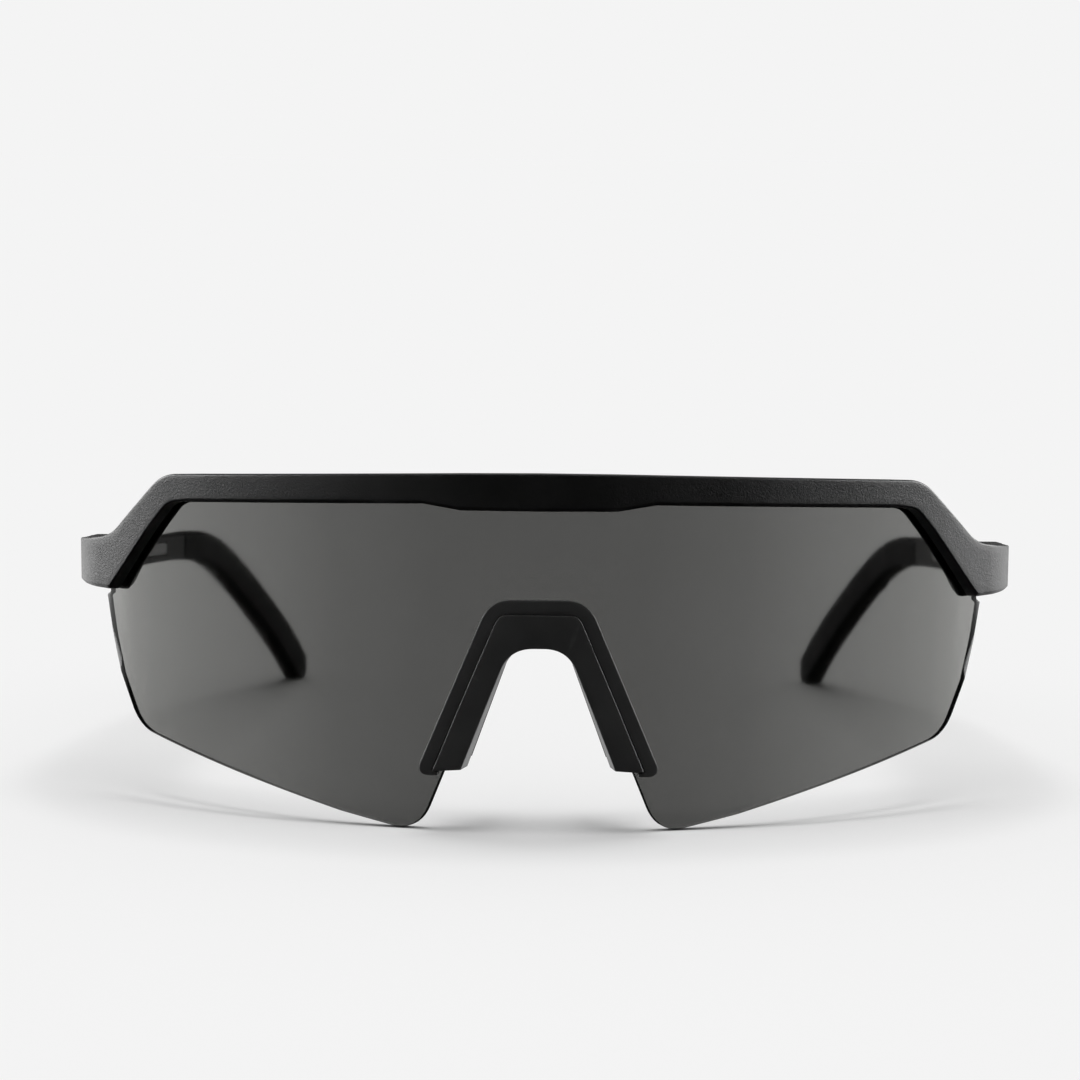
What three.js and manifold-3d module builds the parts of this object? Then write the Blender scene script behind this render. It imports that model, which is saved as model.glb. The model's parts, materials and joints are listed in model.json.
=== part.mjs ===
// Wraparound sport sunglasses: a half-frame front, one cylindrical shield lens, a clip-on nosepiece
// and two folding temples. Millimetres, +Z up, lenses facing -Y, temples running along +Y.
//
// The front is drawn flat and then bent. A point has s, its distance along the lens's plan curve,
// z, its height, and t, how far it stands off the lens's outer face. The temples are sections
// carried along a curve. Everything is drawn as worn, with level temples, and the whole group is
// then tipped so that it stands on the two lens points and the two temple ends.

import * as THREE from 'three';
import { mergeVertices } from 'three/addons/utils/BufferGeometryUtils.js';
import Module from 'manifold-3d';

const wasm = await Module();
wasm.setup();

const DEGREE = Math.PI / 180;
const QUARTER_TURN = Math.PI / 2;
const CLEARANCE = 0.3;
const PAST = 1;
const WELD = 1e-4;
const WIDE = 100;
const DEEP = 20;

// Plan curve of the lens's outer face, and how it leans and stands.
const WRAP_RADIUS = 88;
const WRAP_ANGLE = 49 * DEGREE;
const CORNER_RADIUS = 15;
const FRONT_SET = -2.3;
const LENS_LEAN = Math.tan(8 * DEGREE);
const STANDING_TILT = 4.5 * DEGREE;

// Depths along t, from the back of each piece to its front.
const LENS_DEPTH = [-2.0, 0];
const FRAME_DEPTH = [-3.8, 2.2];
const CARRIER_DEPTH = [-4.8, 1.8];
const RIM_DEPTH = [CLEARANCE, 1.3];
const LENS_BEVEL = 0.15;
const EDGE_BEVEL = 0.3;
const TOP_BEVEL = 0.4;
const FRONT_LOW_BEVEL = 0.45;
const REAR_LOW_BEVEL = 1.2;
const REAR_BEVEL_DEPTH = 1.2;

// How many faces each slab has across its height.
const LENS_SPANS = 4;
const FRAME_SPANS = 2;
const CARRIER_SPANS = 3;
const RIM_SPANS = 2;

// Where along s the frame's bevels change, and by how much.
const ENDPIECE_SPAN = [69, 75];
const HINGE_SPAN = [80, 90];
const DIAGONAL_SPAN = [54, 60];
const DIAGONAL_LOW_CHANGE = -0.3;
const ENDPIECE_LOW_CHANGE = 0.1;
const HINGE_LOW_CHANGE = -0.2;
const DIAGONAL_REAR_CHANGE = 1;
const ENDPIECE_REAR_CHANGE = -0.6;
const LEAST_STRETCH = 0.6;

// Hinge: a two-lug fork on the front and a tongue on the temple, with an upright screw.
const HINGE_X = 69.3;
const HINGE_Y = 45.2;
const HINGE_Z = 38.1;
const LUG_HALF_WIDTH = 3.0;
const LUG_HEIGHT = 1.8;
const TONGUE_RADIUS = 2.8;
const TONGUE_HEIGHT = 2.2;
const HINGE_HEIGHT = TONGUE_HEIGHT + 2 * (LUG_HEIGHT + CLEARANCE);
const FLOOR_GAP = 0.4;
const FORK_FLOOR = HINGE_Y - LUG_HALF_WIDTH - FLOOR_GAP;
const LUG_ROOT = 4.6;
const LUG_CORNER = 0.5;
const SHANK_RADIUS = 0.7;
const HEAD_RADIUS = 1.4;
const HEAD_HEIGHT = 0.8;
const HEAD_SUNK = 0.1;
const SCREW_END_INSET = 0.4;
const INSERT_INSET = 0.4;
const SLEEVE_RADIUS = 1.5;
const ROUND_SIDES = 20;
const PLATE_CURVE_STEPS = 10;

// Temple: rows of y, x, z, height and thickness, from the hinge shoulder to past the ground.
const TEMPLE_ROWS = [
  [48.6, 69.3, 38.1, 6.2, 5.6],
  [60, 68.5, 38.2, 4.9, 4.2],
  [74, 66.6, 38.2, 4.4, 3.6],
  [86, 64.4, 38.2, 4.5, 3.4],
  [96, 62.2, 37.9, 4.9, 3.3],
  [104, 60.2, 36.2, 5.2, 3.3],
  [114, 57.5, 31.9, 5.4, 3.3],
  [126, 54.2, 25.6, 5.5, 3.3],
  [138, 51.0, 18.6, 5.7, 3.3],
  [150, 48.2, 10.6, 5.7, 3.3],
];
const TIP_START = 3 / 9;
const TIP_GAP = 0.0035;
const TIP_END_Y = 147;
const TEMPLE_BEVEL = 0.8;
const CORE_SPAN = [0.246, 0.86];
const CORE_HALF = [0.5, 1.1];
const CORE_BEVEL = 0.2;
const INLAY_SPAN = [0.06, 0.238];
const INLAY_HALF_HEIGHT = 1.0;
const INLAY_THICKNESS = 0.4;
const INLAY_END_GAP = 0.004;
const INLAY_BEVEL = 0.15;
const ARM_STEPS = 12;
const TIP_STEPS = 26;
const CORE_STEPS = 20;
const INLAY_STEPS = 8;

// Nose pads: height range, reach behind the carrier, wall, how far the rear edge flares out and
// how late it does so, and how much shorter the reach is at the pad's top and bottom.
const PAD_HEIGHTS = [10.5, 24.5];
const PAD_REACH = 9;
const PAD_WALL = 2.2;
const PAD_FLARE = 2.6;
const PAD_FLARE_POWER = 5;
const PAD_TAPER = 0.75;
const PAD_SET = -0.05;
const PAD_STEPS = [2, 4, 6];

const WIRE_RADIUS = 0.45;
const WIRE_DEPTH = -3.55;
const WIRE_STEPS = 24;
const WIRE_SIDES = 8;

// Outlines, half of each, from the middle outwards: a leg has its steps, and its lower and upper
// line as [s, z] points, where a third number rounds that corner.
const LENS_LEGS = [
  { steps: 5, low: [[0, 29.3], [5.6, 29.3, 4], [11.9, 13.7]], high: [[0, 49.7], [14, 49.7]] },
  { steps: 7, low: [[11.9, 13.7], [17.9, -1.2, 5], [30, 2.1]], high: [[14, 49.7], [34, 49.7]] },
  { steps: 6, low: [[30, 2.1], [60, 10.4]], high: [[34, 49.7], [54, 49.7]] },
  {
    steps: 8,
    low: [[60, 10.4], [68.4, 12.7, 8], [73.0, 20.8]],
    high: [[54, 49.7], [59.9, 49.7, 4], [68, 42.2]],
  },
  { steps: 4, low: [[73.0, 20.8], [75.0, 26.8]], high: [[68, 42.2], [75.3, 35.6]] },
  { steps: 2, low: [[75.0, 26.8], [75.9, 30.3]], high: [[75.3, 35.6], [75.4, 33.4]] },
  { steps: 1, low: [[75.9, 30.3], [76.4, 32.4]], high: [[75.4, 33.4], [76.4, 32.9]] },
];
const FRAME_LEGS = [
  { steps: 3, low: [[0, 46.95], [11.2, 47.0]], high: [[0, 52.4], [11.2, 52.33]] },
  { steps: 2, low: [[11.2, 47.0], [16.8, 47.95]], high: [[11.2, 52.33], [16.8, 52.25]] },
  { steps: 10, low: [[16.8, 47.95], [52, 47.6]], high: [[16.8, 52.25], [52, 51.75]] },
  {
    steps: 6,
    low: [[52, 47.6], [58.9, 47.5, 4.5], [62.5, 44.2]],
    high: [[52, 51.75], [60.1, 51.65, 8], [65.5, 47.35]],
  },
  { steps: 4, low: [[62.5, 44.2], [70.6, 36.1]], high: [[65.5, 47.35], [69, 44.6]] },
  {
    steps: 6,
    low: [[70.6, 36.1], [72.9, 33.8, 1.2], [77, 34.0]],
    high: [[69, 44.6], [72.1, 42.14, 9], [77.5, 41.6]],
  },
  { steps: 5, low: [[77, 34.0], [86, 34.7]], high: [[77.5, 41.6], [86, 41.3]] },
  { steps: 3, low: [[86, 34.7], [99, 34.9]], high: [[86, 41.3], [99, 41.3]] },
];
const CARRIER_LEGS = [
  {
    steps: 9,
    low: [[0, 26.95], [4.15, 26.95, 5.0], [7.4, 18.6]],
    high: [[0, 31.85], [5.7, 31.85, 2.2], [10.7, 19.9]],
  },
  { steps: 4, low: [[7.4, 18.6], [11.1, 9.0]], high: [[10.7, 19.9], [15.3, 8.7]] },
];
const RIM_LEGS = [
  {
    steps: 9,
    low: [[0, 32.15], [5.95, 32.15, 2.4], [11.0, 20]],
    high: [[0, 34.0], [7.1, 34.0, 5.0], [12.9, 20.2]],
  },
  { steps: 4, low: [[11.0, 20], [15.55, 9.1]], high: [[12.9, 20.2], [17.2, 9.5]] },
  { steps: 1, low: [[15.55, 9.1], [15.65, 8.6]], high: [[17.2, 9.5], [16.7, 8.6]] },
];

const FINISHES = {
  softTouchBlack: { color: 0x1b1b1c, roughness: 0.6, metalness: 0 },
  smokeLens: { color: 0x4c4c49, roughness: 0.08, metalness: 0 },
  mouldedBlack: { color: 0x161617, roughness: 0.5, metalness: 0 },
  rubberBlack: { color: 0x101011, roughness: 0.85, metalness: 0 },
  greyInlay: { color: 0x4a4a4b, roughness: 0.55, metalness: 0 },
  springSteel: { color: 0x9a9a9c, roughness: 0.35, metalness: 1 },
  screwSteel: { color: 0x55565a, roughness: 0.35, metalness: 1 },
  bushPolymer: { color: 0xc9c6bd, roughness: 0.5, metalness: 0 },
  brass: { color: 0xb08d4f, roughness: 0.4, metalness: 1 },
};

/** The point at distance s along the plan curve, height z and stand-off t. */
function bend(s, z, t) {
  const along = Math.abs(s);
  const wrapLength = WRAP_RADIUS * WRAP_ANGLE;
  const onWrap = Math.min(along, wrapLength) / WRAP_RADIUS;
  const onCorner = Math.min(Math.max(along - wrapLength, 0) / CORNER_RADIUS, QUARTER_TURN - WRAP_ANGLE);
  const straight = Math.max(along - wrapLength - onCorner * CORNER_RADIUS, 0);
  const angle = onWrap + onCorner;
  const cornerX = CORNER_RADIUS * (Math.sin(angle) - Math.sin(onWrap));
  const cornerY = CORNER_RADIUS * (Math.cos(onWrap) - Math.cos(angle));
  const x = WRAP_RADIUS * Math.sin(onWrap) + cornerX + t * Math.sin(angle);
  const y = WRAP_RADIUS * (1 - Math.cos(onWrap)) + cornerY + straight - t * Math.cos(angle);
  return new THREE.Vector3(s < 0 ? -x : x, y + FRONT_SET - z * LENS_LEAN, z);
}

/** A manifold solid from a closed geometry whose faces all point one way, turned outwards. */
function toSolid(geometry) {
  const positions = geometry.getAttribute('position');
  const corners = Array.from(geometry.index.array);
  const a = new THREE.Vector3();
  const b = new THREE.Vector3();
  const c = new THREE.Vector3();
  let volume = 0;
  for (let i = 0; i < corners.length; i += 3) {
    a.fromBufferAttribute(positions, corners[i]);
    b.fromBufferAttribute(positions, corners[i + 1]);
    c.fromBufferAttribute(positions, corners[i + 2]);
    volume += a.dot(b.cross(c));
  }
  if (volume < 0) corners.reverse();
  const mesh = new wasm.Mesh({
    numProp: 3,
    vertProperties: new Float32Array(positions.array),
    triVerts: new Uint32Array(corners),
  });
  return new wasm.Manifold(mesh);
}

/** Welds a closed geometry, moves each vertex with the map given and makes it a solid. */
function solidOf(geometry, move = (point) => point) {
  geometry.deleteAttribute('normal');
  geometry.deleteAttribute('uv');
  const welded = mergeVertices(geometry, WELD);
  const positions = welded.getAttribute('position');
  const point = new THREE.Vector3();
  for (let i = 0; i < positions.count; i += 1) {
    const moved = move(point.fromBufferAttribute(positions, i));
    positions.setXYZ(i, moved.x, moved.y, moved.z);
  }
  return toSolid(welded);
}

/** A closed solid through a row of rings, each an array of the same number of points. */
function loft(rings) {
  const sides = rings[0].length;
  const steps = rings.length - 1;
  const centres = rings.map((ring) => {
    const sum = ring.reduce((total, point) => total.add(point), new THREE.Vector3());
    return sum.divideScalar(sides);
  });
  return solidOf(new THREE.CylinderGeometry(1, 1, 1, sides, steps), (point) => {
    const row = Math.round((0.5 - point.y) * steps);
    if (Math.hypot(point.x, point.z) < 0.5) return centres[row];
    const turn = Math.atan2(point.x, point.z) / (2 * Math.PI);
    return rings[row][(Math.round(turn * sides) + sides) % sides];
  });
}

/** Evenly spaced [s, z] points on a line whose inner corners may be rounded. */
function spacedPoints(corners, steps) {
  const path = new THREE.Path();
  path.moveTo(corners[0][0], corners[0][1]);
  for (let i = 1; i < corners.length - 1; i += 1) {
    const here = new THREE.Vector2(corners[i][0], corners[i][1]);
    const back = new THREE.Vector2(corners[i - 1][0], corners[i - 1][1]).sub(here).normalize();
    const ahead = new THREE.Vector2(corners[i + 1][0], corners[i + 1][1]).sub(here).normalize();
    const reach = corners[i][2] / Math.tan(back.angleTo(ahead) / 2);
    const enter = back.multiplyScalar(reach).add(here);
    const leave = ahead.multiplyScalar(reach).add(here);
    path.lineTo(enter.x, enter.y);
    path.quadraticCurveTo(here.x, here.y, leave.x, leave.y);
  }
  const last = corners[corners.length - 1];
  path.lineTo(last[0], last[1]);
  return path.getSpacedPoints(steps);
}

/** Matching lower and upper points of a whole outline, from its far left to its far right. */
function outlineRows(legs) {
  const half = [];
  for (const leg of legs) {
    const low = spacedPoints(leg.low, leg.steps);
    const high = spacedPoints(leg.high, leg.steps);
    const rows = low.map((point, i) => ({ low: point, high: high[i] }));
    half.push(...(half.length ? rows.slice(1) : rows));
  }
  const flip = (point) => new THREE.Vector2(-point.x, point.y);
  const left = half.slice(1).reverse().map((row) => ({ low: flip(row.low), high: flip(row.high) }));
  return [...left, ...half];
}

/** The same outline grown by a distance on all sides. */
function grownRows(rows, distance) {
  const loop = [...rows.map((row) => row.low), ...rows.map((row) => row.high).reverse()];
  const count = loop.length;
  const grown = loop.map((point, i) => {
    const before = point.clone().sub(loop[(i + count - 1) % count]).normalize();
    const after = loop[(i + 1) % count].clone().sub(point).normalize();
    const outward = new THREE.Vector2(before.y + after.y, -before.x - after.x).normalize();
    const stretch = Math.max(outward.dot(new THREE.Vector2(after.y, -after.x)), LEAST_STRETCH);
    return point.clone().addScaledVector(outward, distance / stretch);
  });
  return rows.map((row, i) => ({ low: grown[i], high: grown[count - 1 - i] }));
}

/** A slab between the lower and upper lines of an outline, bent onto the wrap, bevelled all round. */
function bentSlab(rows, depth, spans, bevels) {
  const [back, front] = depth;
  const rings = rows.map(({ low, high }) => {
    const tall = low.distanceTo(high);
    const cut = bevels(low.x);
    const ring = [];
    for (let i = 0; i <= spans; i += 1) {
      ring.push([cut.low + (tall - cut.low - cut.high) * (i / spans), front]);
    }
    ring.push([tall, front - cut.high], [tall, back + cut.rear]);
    for (let i = spans; i >= 0; i -= 1) {
      ring.push([cut.rearLow + (tall - cut.rearLow - cut.rear) * (i / spans), back]);
    }
    ring.push([0, back + Math.min(cut.rearLow, REAR_BEVEL_DEPTH)], [0, front - cut.low]);
    return ring.map(([up, t]) => {
      const at = low.clone().lerp(high, up / tall);
      return bend(at.x, at.y, t);
    });
  });
  return loft(rings);
}

/** A slab's bevels where they are the same all along it. */
function evenBevels(size) {
  return () => ({ low: size, high: size, rear: size, rearLow: size });
}

/** A box given by its lowest and highest corners. */
function block(low, high) {
  const size = high.map((value, i) => value - low[i]);
  const centre = high.map((value, i) => (value + low[i]) / 2);
  return solidOf(new THREE.BoxGeometry(...size).translate(...centre));
}

/** An upright round solid about one side's hinge axis, between two heights. */
function hingeDrum(side, radius, bottom, top) {
  const drum = new THREE.CylinderGeometry(radius, radius, top - bottom, ROUND_SIDES);
  drum.rotateX(QUARTER_TURN).translate(side * HINGE_X, HINGE_Y, (top + bottom) / 2);
  return solidOf(drum);
}

/** A flat outline about one side's hinge axis, +x away from the head, between two heights. */
function hingePlate(side, shape, bottom, top) {
  const options = { depth: top - bottom, bevelEnabled: false, curveSegments: PLATE_CURVE_STEPS };
  const plate = new THREE.ExtrudeGeometry(shape, options);
  return solidOf(plate, (point) => {
    return new THREE.Vector3(side * (HINGE_X + point.x), HINGE_Y + point.y, bottom + point.z);
  });
}

const hingeBottom = HINGE_Z - HINGE_HEIGHT / 2;
const lowerLug = [hingeBottom, hingeBottom + LUG_HEIGHT];
const tongue = [lowerLug[1] + CLEARANCE, lowerLug[1] + CLEARANCE + TONGUE_HEIGHT];
const upperLug = [tongue[1] + CLEARANCE, tongue[1] + CLEARANCE + LUG_HEIGHT];
const bore = SHANK_RADIUS + CLEARANCE;
const sleeveBore = SLEEVE_RADIUS + CLEARANCE;
const headSeat = upperLug[1] - HEAD_HEIGHT - CLEARANCE - HEAD_SUNK;
const insertSeat = lowerLug[1] - INSERT_INSET;

/** The lens, or with a grow distance the groove that it sits in. */
function lensSolid(grow = 0) {
  const rows = outlineRows(LENS_LEGS);
  const depth = [LENS_DEPTH[0] - grow, LENS_DEPTH[1] + grow];
  return bentSlab(grow ? grownRows(rows, grow) : rows, depth, LENS_SPANS, evenBevels(grow ? 0 : LENS_BEVEL));
}

/** One lug of the fork: square outside, where it stops the open temple, and round inside. */
function lugShape() {
  const shape = new THREE.Shape();
  shape.moveTo(-LUG_HALF_WIDTH, -LUG_ROOT);
  shape.lineTo(LUG_HALF_WIDTH, -LUG_ROOT);
  shape.lineTo(LUG_HALF_WIDTH, LUG_HALF_WIDTH - LUG_CORNER);
  shape.lineTo(LUG_HALF_WIDTH - LUG_CORNER, LUG_HALF_WIDTH);
  shape.lineTo(0, LUG_HALF_WIDTH);
  shape.absarc(0, 0, LUG_HALF_WIDTH, QUARTER_TURN, Math.PI);
  return shape;
}

/** Brow bar, diagonals and endpieces in one moulding, with the lens groove and two hinge forks. */
function frontFrame(groove) {
  const bevels = (s) => {
    const atEndpiece = THREE.MathUtils.smoothstep(Math.abs(s), ...ENDPIECE_SPAN);
    const towardHinge = THREE.MathUtils.smoothstep(Math.abs(s), ...HINGE_SPAN);
    const onDiagonal = THREE.MathUtils.smoothstep(Math.abs(s), ...DIAGONAL_SPAN) * (1 - atEndpiece);
    const endChange = ENDPIECE_LOW_CHANGE * atEndpiece + HINGE_LOW_CHANGE * towardHinge;
    const low = FRONT_LOW_BEVEL + DIAGONAL_LOW_CHANGE * onDiagonal + endChange;
    const rearLow = REAR_LOW_BEVEL + DIAGONAL_REAR_CHANGE * onDiagonal + ENDPIECE_REAR_CHANGE * atEndpiece;
    return { low, high: TOP_BEVEL, rear: TOP_BEVEL, rearLow };
  };
  let frame = bentSlab(outlineRows(FRAME_LEGS), FRAME_DEPTH, FRAME_SPANS, bevels).subtract(groove);
  frame = frame.subtract(block([-WIDE, FORK_FLOOR, 0], [WIDE, FORK_FLOOR + DEEP, WIDE]));
  for (const side of [-1, 1]) {
    for (const [bottom, top] of [lowerLug, upperLug]) {
      frame = frame.add(hingePlate(side, lugShape(), bottom, top));
    }
    frame = frame.subtract(hingeDrum(side, bore, hingeBottom - PAST, upperLug[1] + PAST));
    frame = frame.subtract(hingeDrum(side, HEAD_RADIUS + CLEARANCE, headSeat, upperLug[1] + PAST));
    frame = frame.subtract(hingeDrum(side, sleeveBore, hingeBottom - PAST, insertSeat));
  }
  return frame;
}

/** Arch that grips the lens's nose cut-out, with a channel for the bendable wire. */
function noseCarrier(groove) {
  const arch = bentSlab(outlineRows(CARRIER_LEGS), CARRIER_DEPTH, CARRIER_SPANS, evenBevels(EDGE_BEVEL));
  return arch.subtract(groove).subtract(noseWire(WIRE_RADIUS + CLEARANCE, PAST));
}

/** Raised band that frames the carrier and lies on the lens's outer face. */
function noseRim() {
  return bentSlab(outlineRows(RIM_LEGS), RIM_DEPTH, RIM_SPANS, evenBevels(EDGE_BEVEL));
}

/** Bendable wire along the middle of the carrier, ending short of it or, as a cutter, past it. */
function noseWire(radius, extra) {
  const middle = outlineRows(CARRIER_LEGS).map((row) => row.low.clone().lerp(row.high, 0.5));
  const ends = [middle[0], middle[middle.length - 1]];
  for (const end of ends) {
    end.y -= extra;
  }
  const points = middle.map((point) => bend(point.x, point.y, WIRE_DEPTH));
  const line = new THREE.CatmullRomCurve3(points);
  const rings = [];
  for (let i = 0; i <= WIRE_STEPS; i += 1) {
    const along = line.getTangentAt(i / WIRE_STEPS);
    const outward = new THREE.Vector3(0, 1, 0).cross(along).normalize();
    const backward = along.clone().cross(outward);
    const centre = line.getPointAt(i / WIRE_STEPS);
    const ring = [];
    for (let k = 0; k < WIRE_SIDES; k += 1) {
      const turn = (2 * Math.PI * k) / WIRE_SIDES;
      const point = centre.clone().addScaledVector(outward, radius * Math.cos(turn));
      ring.push(point.addScaledVector(backward, radius * Math.sin(turn)));
    }
    rings.push(ring);
  }
  return loft(rings);
}

/** Soft pad on one side, behind the carrier's inner edge and flaring out towards the face. */
function nosePad(side) {
  const inner = CARRIER_LEGS[1].low;
  const slope = (inner[1][0] - inner[0][0]) / (inner[1][1] - inner[0][1]);
  const [bottom, top] = PAD_HEIGHTS;
  return solidOf(new THREE.BoxGeometry(1, 1, 1, ...PAD_STEPS), (point) => {
    const back = point.y + 0.5;
    const height = THREE.MathUtils.lerp(bottom, top, point.z + 0.5);
    const round = Math.sqrt(1 - PAD_TAPER * (2 * point.z) ** 2);
    const edge = inner[0][0] + slope * (height - inner[0][1]) + PAD_SET;
    const root = bend(edge, height, CARRIER_DEPTH[0] - CLEARANCE);
    const x = root.x + PAD_FLARE * back ** PAD_FLARE_POWER + PAD_WALL * (point.x + 0.5);
    return new THREE.Vector3(side * x, root.y + PAD_REACH * back * round, height);
  });
}

const templePoints = TEMPLE_ROWS.map(([y, x, z]) => new THREE.Vector3(x, y, z));
const templeLine = new THREE.CatmullRomCurve3(templePoints);
const templeSections = TEMPLE_ROWS.map(([, , , tall, thick]) => new THREE.Vector2(thick, tall));
const templeSize = new THREE.SplineCurve(templeSections);

/** A section carried along the temple: corners(size) gives its [outward, up] points in order. */
function templeSweep(side, from, to, steps, corners) {
  const rings = [];
  for (let i = 0; i <= steps; i += 1) {
    const at = THREE.MathUtils.lerp(from, to, i / steps);
    const centre = templeLine.getPoint(at);
    const along = templeLine.getTangent(at);
    const outward = new THREE.Vector3(along.y, -along.x, 0).normalize();
    const up = outward.clone().cross(along);
    rings.push(corners(templeSize.getPoint(at)).map(([across, rise]) => {
      const point = centre.clone().addScaledVector(outward, across).addScaledVector(up, rise);
      return point.setX(side * point.x);
    }));
  }
  return loft(rings);
}

/** Rectangle with cut corners, as [outward, up] points. */
function cutRectangle(inner, outer, low, high, cut) {
  return [
    [inner + cut, low], [outer - cut, low], [outer, low + cut], [outer, high - cut],
    [outer - cut, high], [inner + cut, high], [inner, high - cut], [inner, low + cut],
  ];
}

/** The temple's own section at a given size. */
function templeSection({ x: thick, y: tall }) {
  return cutRectangle(-thick / 2, thick / 2, -tall / 2, tall / 2, TEMPLE_BEVEL);
}

/** Flat steel strip inside the temple, or with grow the channel it lies in. */
function templeCore(side, grow = 0, from = CORE_SPAN[0], to = CORE_SPAN[1]) {
  const [across, rise] = CORE_HALF.map((half) => half + grow);
  const section = cutRectangle(-across, across, -rise, rise, CORE_BEVEL);
  return templeSweep(side, from, to, CORE_STEPS, () => section);
}

/** Thin plate let into the temple's inner face, or with grow the recess it lies in. */
function armInlay(side, grow = 0) {
  const [from, to] = INLAY_SPAN;
  const stretch = grow ? INLAY_END_GAP : 0;
  const reach = INLAY_HALF_HEIGHT + grow;
  return templeSweep(side, from - stretch, to + stretch, INLAY_STEPS, ({ x: thick }) => {
    const face = -thick / 2 - (grow ? PAST : 0);
    return cutRectangle(face, -thick / 2 + INLAY_THICKNESS + grow, -reach, reach, INLAY_BEVEL);
  });
}

/** Stiff front part of the temple, with its hinge tongue, inlay recess and core channel. */
function templeArm(side) {
  const shape = new THREE.Shape();
  const root = TEMPLE_ROWS[0][0] - HINGE_Y + 2 * PAST;
  shape.moveTo(-TONGUE_RADIUS, root);
  shape.absarc(0, 0, TONGUE_RADIUS, Math.PI, 2 * Math.PI);
  shape.lineTo(TONGUE_RADIUS, root);
  const body = templeSweep(side, 0, TIP_START - TIP_GAP, ARM_STEPS, templeSection);
  return body
    .add(hingePlate(side, shape, tongue[0], tongue[1]))
    .subtract(hingeDrum(side, sleeveBore, tongue[0] - PAST, tongue[1] + PAST))
    .subtract(armInlay(side, CLEARANCE))
    .subtract(templeCore(side, CLEARANCE, CORE_SPAN[0] - TIP_GAP, TIP_START + TIP_GAP));
}

/** Rubber sleeve of the temple, cut flat where it stands and square at its rear end. */
function templeTip(side, ground) {
  const floor = new THREE.BoxGeometry(2 * WIDE, 2 * WIDE, DEEP).translate(0, TIP_END_Y, ground - DEEP / 2);
  return templeSweep(side, TIP_START, 1, TIP_STEPS, templeSection)
    .subtract(templeCore(side, CLEARANCE, TIP_START - TIP_GAP, CORE_SPAN[1] + TIP_GAP))
    .subtract(block([-WIDE, TIP_END_Y, -DEEP], [WIDE, TIP_END_Y + DEEP, WIDE]))
    .subtract(solidOf(floor.rotateX(STANDING_TILT)));
}

/** A turned piece about one side's hinge axis: a profile of [radius, height] points. */
function turned(side, profile) {
  const points = profile.map(([radius, height]) => new THREE.Vector2(radius, height));
  const lathe = new THREE.LatheGeometry(points, ROUND_SIDES);
  return solidOf(lathe.rotateX(QUARTER_TURN).translate(side * HINGE_X, HINGE_Y, 0));
}

/** Hinge screw with a low cheese head in the upper lug, its end in the insert. */
function hingeScrew(side) {
  const head = upperLug[1] - HEAD_SUNK;
  const end = hingeBottom + SCREW_END_INSET;
  return turned(side, [
    [0, end], [SHANK_RADIUS, end], [SHANK_RADIUS, head - HEAD_HEIGHT],
    [HEAD_RADIUS, head - HEAD_HEIGHT], [HEAD_RADIUS, head], [0, head],
  ]);
}

/** A plain sleeve about one side's hinge axis, between two heights. */
function hingeSleeve(side, bottom, top) {
  return turned(side, [
    [bore, bottom], [SLEEVE_RADIUS, bottom], [SLEEVE_RADIUS, top], [bore, top], [bore, bottom],
  ]);
}

/** A named mesh from a solid and a finish. */
function piece(name, solid, finish) {
  const { vertProperties, triVerts } = solid.getMesh();
  const geometry = new THREE.BufferGeometry();
  geometry.setAttribute('position', new THREE.BufferAttribute(new Float32Array(vertProperties), 3));
  geometry.setIndex(new THREE.BufferAttribute(new Uint32Array(triVerts), 1));
  geometry.computeVertexNormals();
  const mesh = new THREE.Mesh(geometry, new THREE.MeshStandardMaterial(finish));
  mesh.name = name;
  return mesh;
}

/** The group's box after it is tipped to its standing pose. */
function standingBox(group) {
  group.rotation.x = -STANDING_TILT;
  group.updateMatrixWorld(true);
  return new THREE.Box3().setFromObject(group, true);
}

const sunglasses = new THREE.Group();
const groove = lensSolid(CLEARANCE);
sunglasses.add(piece('lens', lensSolid(), FINISHES.smokeLens));
const ground = standingBox(sunglasses).min.z;
sunglasses.add(piece('front_frame', frontFrame(groove), FINISHES.softTouchBlack));
sunglasses.add(piece('nose_carrier', noseCarrier(groove), FINISHES.mouldedBlack));
sunglasses.add(piece('nose_rim', noseRim(), FINISHES.mouldedBlack));
sunglasses.add(piece('nose_core', noseWire(WIRE_RADIUS, 0), FINISHES.springSteel));
for (const [word, side] of [['left', 1], ['right', -1]]) {
  sunglasses.add(piece(`nose_pad_${word}`, nosePad(side), FINISHES.rubberBlack));
  sunglasses.add(piece(`temple_arm_${word}`, templeArm(side), FINISHES.softTouchBlack));
  sunglasses.add(piece(`arm_inlay_${word}`, armInlay(side), FINISHES.greyInlay));
  sunglasses.add(piece(`temple_core_${word}`, templeCore(side), FINISHES.springSteel));
  sunglasses.add(piece(`temple_tip_${word}`, templeTip(side, ground), FINISHES.rubberBlack));
  sunglasses.add(piece(`hinge_screw_${word}`, hingeScrew(side), FINISHES.screwSteel));
  sunglasses.add(piece(`hinge_bush_${word}`, hingeSleeve(side, tongue[0], tongue[1]), FINISHES.bushPolymer));
  const insertTop = insertSeat - CLEARANCE;
  sunglasses.add(piece(`hinge_insert_${word}`, hingeSleeve(side, hingeBottom, insertTop), FINISHES.brass));
}

const box = standingBox(sunglasses);
sunglasses.position.set(0, -(box.min.y + box.max.y) / 2, -box.min.z);

export default sunglasses;
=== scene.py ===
"""Wraparound sport sunglasses: smooth pieces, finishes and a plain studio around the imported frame.

Sizes are in millimetres and in the worn position, with level temples, until Standing.place() tips
them to the standing position and turns them into metres. Everything on the wrap is drawn flat, as
s along the lens's plan curve, z up and t off the lens's outer face, and is then bent onto it.
"""

import json
import logging
import math
from dataclasses import dataclass, field, replace
from enum import Enum

import bmesh
import bpy
import numpy as np
from mathutils import Matrix


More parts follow.
